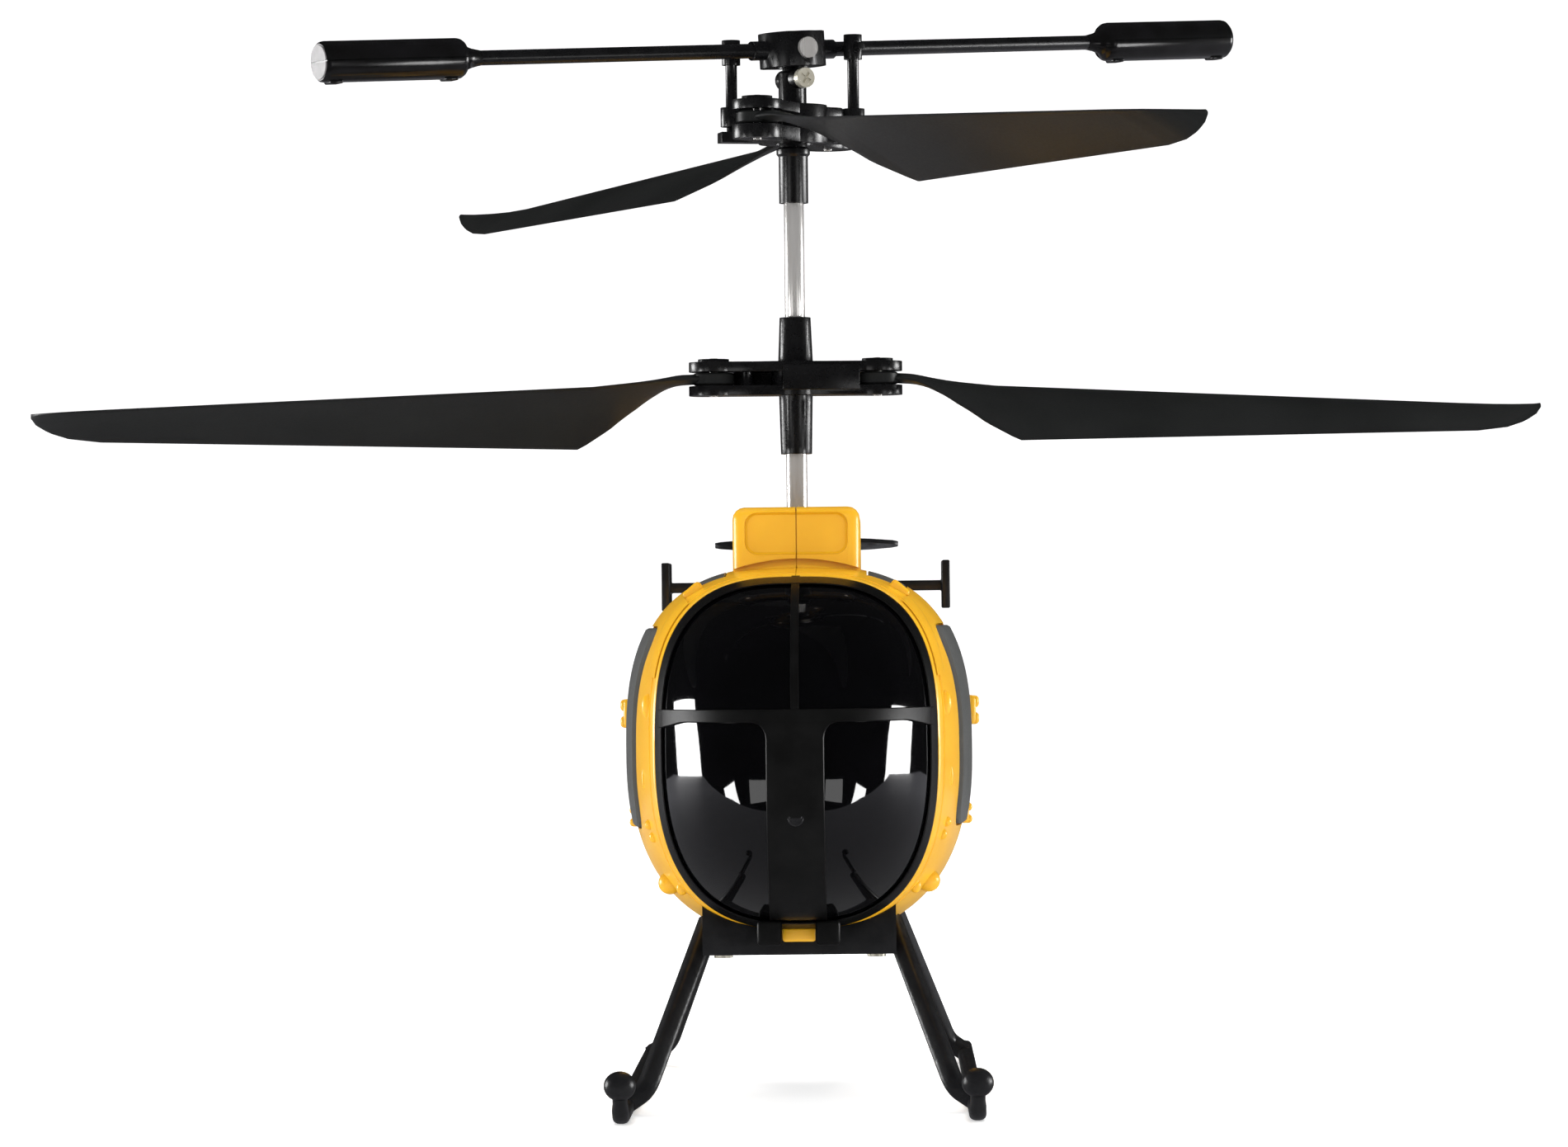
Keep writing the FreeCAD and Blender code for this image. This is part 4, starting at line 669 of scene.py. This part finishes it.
def table(rows, reach):
    """Linear reading of a table whose first column is the reach."""
    for before, after in zip(rows, rows[1:]):
        if reach <= after[0]:
            share = (reach - before[0]) / (after[0] - before[0])
            return [a + (b - a) * share for a, b in zip(before[1:], after[1:])]
    return list(rows[-1][1:])


LENGTH, CORNER, WIDE, TIP, PITCH = 84.6, 15.6, 13.4, 4.6, 25.4


def trailing(reach):
    return WIDE + (TIP - WIDE) * (reach - CORNER) / (LENGTH - CORNER)


# Reach, leading edge, trailing edge, thickness, pitch in degrees.
BLADE_ROWS = [(2.0, -1.7, 1.7, 1.3, 0.0), (4.4, -1.8, 2.0, 1.3, 5.0), (6.6, -1.9, 3.6, 1.2, 15.0),
              (9.0, -2.0, 5.9, 1.1, 21.0), (12.0, -2.0, 9.0, 1.0, PITCH), (14.6, -2.0, 12.4, 0.95, PITCH),
              (CORNER, -2.0, WIDE, 0.9, PITCH), (40.0, -2.0, trailing(40.0), 0.85, PITCH),
              (76.0, -2.0, trailing(76.0), 0.75, PITCH), (80.0, -1.2, trailing(80.0), 0.7, PITCH),
              (82.4, 0.3, trailing(82.4), 0.65, PITCH), (84.0, 2.3, trailing(84.0), 0.6, PITCH),
              (LENGTH, TIP - 0.5, TIP, 0.5, PITCH)]


def blade_mesh(name, droop, sign, place):
    """A rotor blade along +X from its pin: a thin cambered plate that twists in near its root."""
    reaches = [2.0 + 0.7 * k for k in range(20)] + [CORNER] + [16.4 + 1.9 * k for k in range(32)]
    reaches += [76.0, 77.5, 79.0, 80.0, 81.0, 82.0, 82.8, 83.4, 84.0, 84.35, LENGTH]
    rings = []
    for reach in sorted(reaches):
        lead, trail, thick, pitch = table(BLADE_ROWS, reach)
        slope = math.tan(math.radians(pitch))
        drop = 0.6 * min(1, max(0, reach - 4.4) / 11) + max(0, reach - 6) * math.tan(math.radians(droop))
        chord = trail - lead
        camber = 0.05 * chord * min(1.0, pitch / 20)
        edge = min(thick, 0.4) / 2
        shares = [0.5 - 0.5 * math.cos(math.pi * k / 14) for k in range(15)]
        ring = []
        for row, up in ((shares, 1), (reversed(shares), -1)):
            for share in row:
                across = lead + chord * share
                base = -drop - (across - lead) * slope
                rounding = edge * math.sin(math.acos(max(-1, min(1, 2 * share - 1)))) ** 0.4
                bow = 2 * share * (1 - share) * (2 * camber + up * (thick - 2 * edge))
                ring.append((reach, sign * across, base + up * rounding + bow))
        rings.append(ring)
    points, faces = loft(rings)
    skin = raw_object(name, points, faces, place)
    eye = lathe("eye", [(0.0, -0.75), (2.4, -0.75), (2.6, -0.55), (2.6, 0.55), (2.4, 0.75), (0.0, 0.75)],
                place)
    merge(skin, eye)
    return skin


PIN_REACH = 10.3


def on_pin(arm, fold, height):
    """A blade's place on its pin: the arm's direction, the blade's fold from it, and the height."""
    turn = math.radians(arm)
    base = Vector((PIN_REACH * math.cos(turn), MAST + PIN_REACH * math.sin(turn), height))
    return Matrix.Translation(base) @ Matrix.Rotation(math.radians(arm + fold), 4, "Z")


for node, arm, fold, height, droop, sign in (
        ("lower_blade_a", 186.0, 4.0, 89.25, 2.4, -1), ("lower_blade_b", 6.0, 4.0, 89.25, 2.4, -1),
        ("upper_blade_a", -114.5, 59.0, 121.2, 3.7, 1), ("upper_blade_b", 65.5, 59.0, 121.2, 3.7, 1)):
    blade = blade_mesh(node + ".shown", droop, sign, on_pin(arm, fold, height))
    finish_piece(blade, node, "blade_black", [node])

# ---------------------------------------------------------------- flybar weights

flybar_place = (Matrix.Translation((0, MAST, 130.4)) @ Matrix.Rotation(math.radians(211.0), 4, "Z")
                @ Matrix.Rotation(math.radians(3.5), 4, "Y"))
# Profiles of a weight and its end cap: radius, distance out along the flybar.
WEIGHT_PROFILE = [(0.0, 44.0), (0.95, 44.0), (1.02, 44.4), (1.2, 45.2), (1.45, 45.9), (1.8, 46.2),
                  (2.2, 46.5), (2.42, 46.85), (2.5, 47.3), (2.5, 64.9), (2.42, 65.3), (2.2, 65.55),
                  (0.0, 65.6)]
CAP_PROFILE = [(0.0, 65.5), (2.05, 65.5), (2.12, 65.58), (2.05, 65.7), (0.0, 65.7)]
for side_name, sign in (("near", 1), ("far", -1)):
    outward = flybar_place @ Matrix.Rotation(math.pi / 2 * sign, 4, "Y")
    weight = lathe(f"weight_{side_name}", WEIGHT_PROFILE, outward, 64)
    carve(weight, *[block(f"seam_{n}", (22, 0.5, 0.13), (sign * 56, y, 0), 0.01, flybar_place, 1)
                    for n, y in enumerate((-2.55, 2.55))])
    feet = [block(f"foot_{side_name}_{n}", (1.7, 2.0, 0.6), (sign * x, 0, -2.38), 0.2, flybar_place)
            for n, x in enumerate((48.3, 63.8))]
    finish_piece(joined(f"flybar_weight_{side_name}.shown", [weight] + feet), "flybar", "weight_black",
                 [f"flybar_weight_{side_name}"])
    # A thin disc on the weight's end carries the painted highlight of the end face.
    cap = lathe(f"weight_cap_{side_name}", CAP_PROFILE, outward, 48)
    carve(cap, block("cap_seam", (0.6, 8, 0.16), (sign * 65.8, 0, 0), 0.01, flybar_place, 1))
    finish_piece(cap, "flybar", "weight_black", (), CAP_PAINTED_HIGHLIGHT)

# ---------------------------------------------------------------- landing gear

SKID_SPREAD, BALL_RADIUS, BALL_HALF, BALL_HEIGHT = 21.0, 1.9, 1.75, 4.7
for side, side_name in SIDES:
    x = side * SKID_SPREAD
    path = [(x, MAST + 59.0 - 101.0 * k / 30, 0.97) for k in range(31)]
    path += [(x, MAST - 42.0 - 3.0 * math.sin(a), 0.97 + 3.0 * (1 - math.cos(a)))
             for a in (math.pi / 4 * k / 8 for k in range(1, 9))]
    path += [(x, MAST - 44.4, 2.6), (x, MAST - 44.75, 3.4)]
    shapes = [(1.05, 0.97, 2.6)] * 31 + [(1.0, 0.95, 2.3)] * 8 + [(0.9, 0.9, 2.0)] * 2
    run = sweep(f"run_{side_name}", path, shapes)
    ball_profile = [(BALL_RADIUS * math.cos(a), BALL_HALF * math.sin(a))
                    for a in (math.radians(d) for d in range(-80, 90, 10))]
    ball = lathe(f"ball_{side_name}", [(0.0, -BALL_HALF)] + ball_profile + [(0.0, BALL_HALF)],
                 Matrix.Translation((x, MAST - 45.0, BALL_HEIGHT)), 32)
    skid = merge(run, ball)
    skid.name = f"skid_tube_{side_name}.shown"
    finish_piece(skid, "fuselage", "gear_black", [f"skid_tube_{side_name}"])
    for end_name, top_y, foot_y in (("front", -15.5, -30.0), ("rear", 21.0, 46.0)):
        top = Vector((side * 11.2, MAST + top_y, 22.4))
        knee = Vector((side * 18.5, MAST + foot_y, 3.0))
        foot = Vector((x, MAST + foot_y, 1.3))
        path = [top + (knee - top) * (k / 14) for k in range(14)]
        # A short curve rounds the knee.
        for k in range(9):
            share = k / 8
            first, second = knee + (top - knee) * 0.07, knee + (foot - knee) * 0.35
            path.append(first.lerp(knee, share).lerp(knee.lerp(second, share), share))
        path += [(knee + (foot - knee) * 0.35).lerp(foot, k / 4) for k in range(1, 5)]
        leg = sweep(f"{end_name}_leg_{side_name}.shown", path, [(1.15, 1.2, 3.2)] * len(path),
                    (side * 0.35, 1, 0.1))
        finish_piece(leg, "fuselage", "gear_black", [f"{end_name}_leg_{side_name}"])

# ---------------------------------------------------------------- softened mouldings from the CAD

def soften(node, width, angle=38.0):
    """Stands for a CAD node with the same shape and eased edges."""
    source = frame["nodes"][node]
    item = bpy.data.objects.new(node + ".shown", source.data.copy())
    bpy.context.scene.collection.objects.link(item)
    work = bmesh.new()
    work.from_mesh(item.data)
    bmesh.ops.remove_doubles(work, verts=work.verts, dist=0.000001)
    bmesh.ops.dissolve_limit(work, angle_limit=math.radians(1.0), verts=work.verts, edges=work.edges)
    work.to_mesh(item.data)
    work.free()
    ease = item.modifiers.new("ease", "BEVEL")
    ease.width = width * MM
    ease.segments = 2
    ease.limit_method = "ANGLE"
    ease.angle_limit = math.radians(angle)
    ease.use_clamp_overlap = True
    baked(item)
    shade(item.data, 30.0)
    return finish_piece(item, body_of[node], slot_of[node], [node])


EASED = {"belly_keel": 0.35, "lower_rotor_hub": 0.16, "upper_grip_seesaw": 0.16, "upper_head_post": 0.1,
         "flybar": 0.14, "push_link_near": 0.12, "push_link_far": 0.12, "horizontal_stabiliser": 0.2,
         "tail_boom": 0.15, "tail_fin": 0.25, "tail_rotor": 0.1, "spacer_tube": 0.08}
for node, width in EASED.items():
    soften(node, width)

for node, item in frame["nodes"].items():
    item.data.materials.clear()
    item.data.materials.append(LOOKS[slot_of[node]])

# ---------------------------------------------------------------- floor, light, camera

# All of this is in metres. The floor runs flat and then curves up into a backdrop.
rows = [(-3.0, 0.0), (1.2, 0.0)]
rows += [(1.2 + math.sin(a), 1.0 - math.cos(a)) for a in (math.pi / 2 * k / 24 for k in range(1, 25))]
rows.append((2.2, 3.0))
floor_mesh = bpy.data.meshes.new("floor")
floor_mesh.from_pydata([(x, y, z) for y, z in rows for x in (-4.0, 4.0)], [],
                       [(2 * k, 2 * k + 1, 2 * k + 3, 2 * k + 2) for k in range(len(rows) - 1)])
floor_mesh.shade_smooth()
floor = bpy.data.objects.new("floor", floor_mesh)
floor.location.z = -0.00005
floor.visible_glossy = False
bpy.context.scene.collection.objects.link(floor)
paper = surface("floor_white", (0.93, 0.93, 0.93), (0.9, 0.9, 0.9), (0.5, 0.65), (60.0, 0.01), 3.0)
paper_shader = principled(paper)
paper_shader.inputs["Emission Color"].default_value = (1, 1, 1, 1)
paper_shader.inputs["Emission Strength"].default_value = 0.45
floor.data.materials.append(paper)

# A tabletop that only reflections meet: its emission is a painted reflection of a lit table, darker round the
# cabin as a painted shadow.
table_mesh = bpy.data.meshes.new("tabletop")
table_mesh.from_pydata([(-0.7, 0.4, 0), (-0.7, 0.0, 0), (-0.3, -0.09, 0), (-0.14, -0.12, 0), (0.14, -0.12, 0),
                        (0.3, -0.09, 0), (0.7, 0.0, 0), (0.7, 0.4, 0)], [], [tuple(range(8))])
tabletop = bpy.data.objects.new("tabletop", table_mesh)
tabletop.location.z = -0.0001
for ray in ("visible_camera", "visible_diffuse", "visible_shadow", "visible_transmission"):
    setattr(tabletop, ray, False)
bpy.context.scene.collection.objects.link(tabletop)
glow = surface("tabletop_glow", (0.08, 0.08, 0.085), (0.06, 0.06, 0.065), (0.6, 0.7), (60.0, 0.01), 3.0)
glow_shader = principled(glow)
glow_nodes, glow_links = glow.node_tree.nodes, glow.node_tree.links
glow_coords = glow_nodes.new("ShaderNodeTexCoord")
glow_scale = glow_nodes.new("ShaderNodeMapping")
glow_scale.inputs["Scale"].default_value = (3.4, 3.4, 3.4)
# A spherical gradient darkens the emission round the cabin: a painted shadow of the helicopter on the table.
painted_shadow_fall = glow_nodes.new("ShaderNodeTexGradient")
painted_shadow_fall.gradient_type = "SPHERICAL"
glow_and_shadow_tones = glow_nodes.new("ShaderNodeValToRGB")
glow_and_shadow_tones.color_ramp.elements[0].color = (0.34, 0.34, 0.37, 1)
glow_and_shadow_tones.color_ramp.elements[1].color = (0.03, 0.03, 0.03, 1)
glow_links.new(glow_coords.outputs["Object"], glow_scale.inputs["Vector"])
glow_links.new(glow_scale.outputs["Vector"], painted_shadow_fall.inputs["Vector"])
glow_links.new(painted_shadow_fall.outputs["Fac"], glow_and_shadow_tones.inputs["Fac"])
glow_links.new(glow_and_shadow_tones.outputs["Color"], glow_shader.inputs["Emission Color"])
glow_shader.inputs["Emission Strength"].default_value = 1.0
table_mesh.materials.append(glow)

world = bpy.data.worlds.new("studio")
bpy.context.scene.world = world
world.use_nodes = True
nodes, links = world.node_tree.nodes, world.node_tree.links
nodes.clear()
rays = nodes.new("ShaderNodeLightPath")
room = nodes.new("ShaderNodeBackground")
room.inputs["Strength"].default_value = 0.5
dark = nodes.new("ShaderNodeBackground")
dark.inputs["Strength"].default_value = 0.012
for shade_of_room in (room, dark):
    shade_of_room.inputs["Color"].default_value = (1, 1, 1, 1)
pick = nodes.new("ShaderNodeMixShader")
sky = nodes.new("ShaderNodeOutputWorld")
links.new(rays.outputs["Is Glossy Ray"], pick.inputs["Fac"])
links.new(room.outputs["Background"], pick.inputs[1])
links.new(dark.outputs["Background"], pick.inputs[2])
links.new(pick.outputs["Shader"], sky.inputs["Surface"])


def softbox(name, azimuth, height, distance, width, tall, power, glossy=True, roll=0.0):
    """A rectangular lamp that looks at the cabin from an azimuth (0 is the nose's) and height in degrees."""
    turn, lift = math.radians(azimuth), math.radians(height)
    aim = Vector((0, -0.05, 0.05))
    reach = Vector((math.sin(turn) * math.cos(lift), -math.cos(turn) * math.cos(lift), math.sin(lift)))
    lamp = bpy.data.lights.new(name, "AREA")
    lamp.shape = "RECTANGLE"
    lamp.size, lamp.size_y = width, tall
    lamp.energy = power
    item = bpy.data.objects.new(name, lamp)
    item.location = aim + reach * distance
    spun = Quaternion((0, 0, 1), math.radians(roll))
    item.rotation_euler = ((-reach).to_track_quat("-Z", "Y") @ spun).to_euler()
    item.visible_glossy = glossy
    bpy.context.scene.collection.objects.link(item)


softbox("front_fill", 0, 30, 1.1, 1.2, 0.8, 8.0, glossy=False)
softbox("top", 180, 68, 1.0, 1.0, 0.7, 11.0, glossy=False)
softbox("left_box", -108, -2, 0.8, 0.3, 0.44, 6.0, roll=22)
softbox("left_card", -66, -14, 0.8, 0.17, 0.2, 1.8, roll=14)
softbox("right_box", 102, -3, 0.8, 0.3, 0.42, 6.0, roll=-22)
softbox("right_card", 64, -15, 0.8, 0.16, 0.19, 1.6, roll=-14)
softbox("left_glow", -36, -13, 0.8, 0.26, 0.22, 0.3)
softbox("right_glow", 36, -13, 0.8, 0.26, 0.22, 0.3)

EYE, DISTANCE, YAW, ASIDE = 0.060, 0.720, math.radians(0.9), 0.0018
ahead = Vector((-math.sin(YAW), math.cos(YAW), 0))
right = Vector((math.cos(YAW), math.sin(YAW), 0))
spot = Vector((0, MAST * MM, EYE)) - ahead * DISTANCE - right * ASIDE
lens = bpy.data.cameras.new("camera")
lens.sensor_width = 36.0
lens.lens = 132.1
lens.clip_start = 0.01
camera = bpy.data.objects.new("camera", lens)
camera.location = spot
camera.rotation_euler = (math.pi / 2 + math.radians(0.39), math.radians(0.65), YAW)
bpy.context.scene.collection.objects.link(camera)
bpy.context.scene.camera = camera
bpy.context.scene.view_settings.view_transform = "Standard"
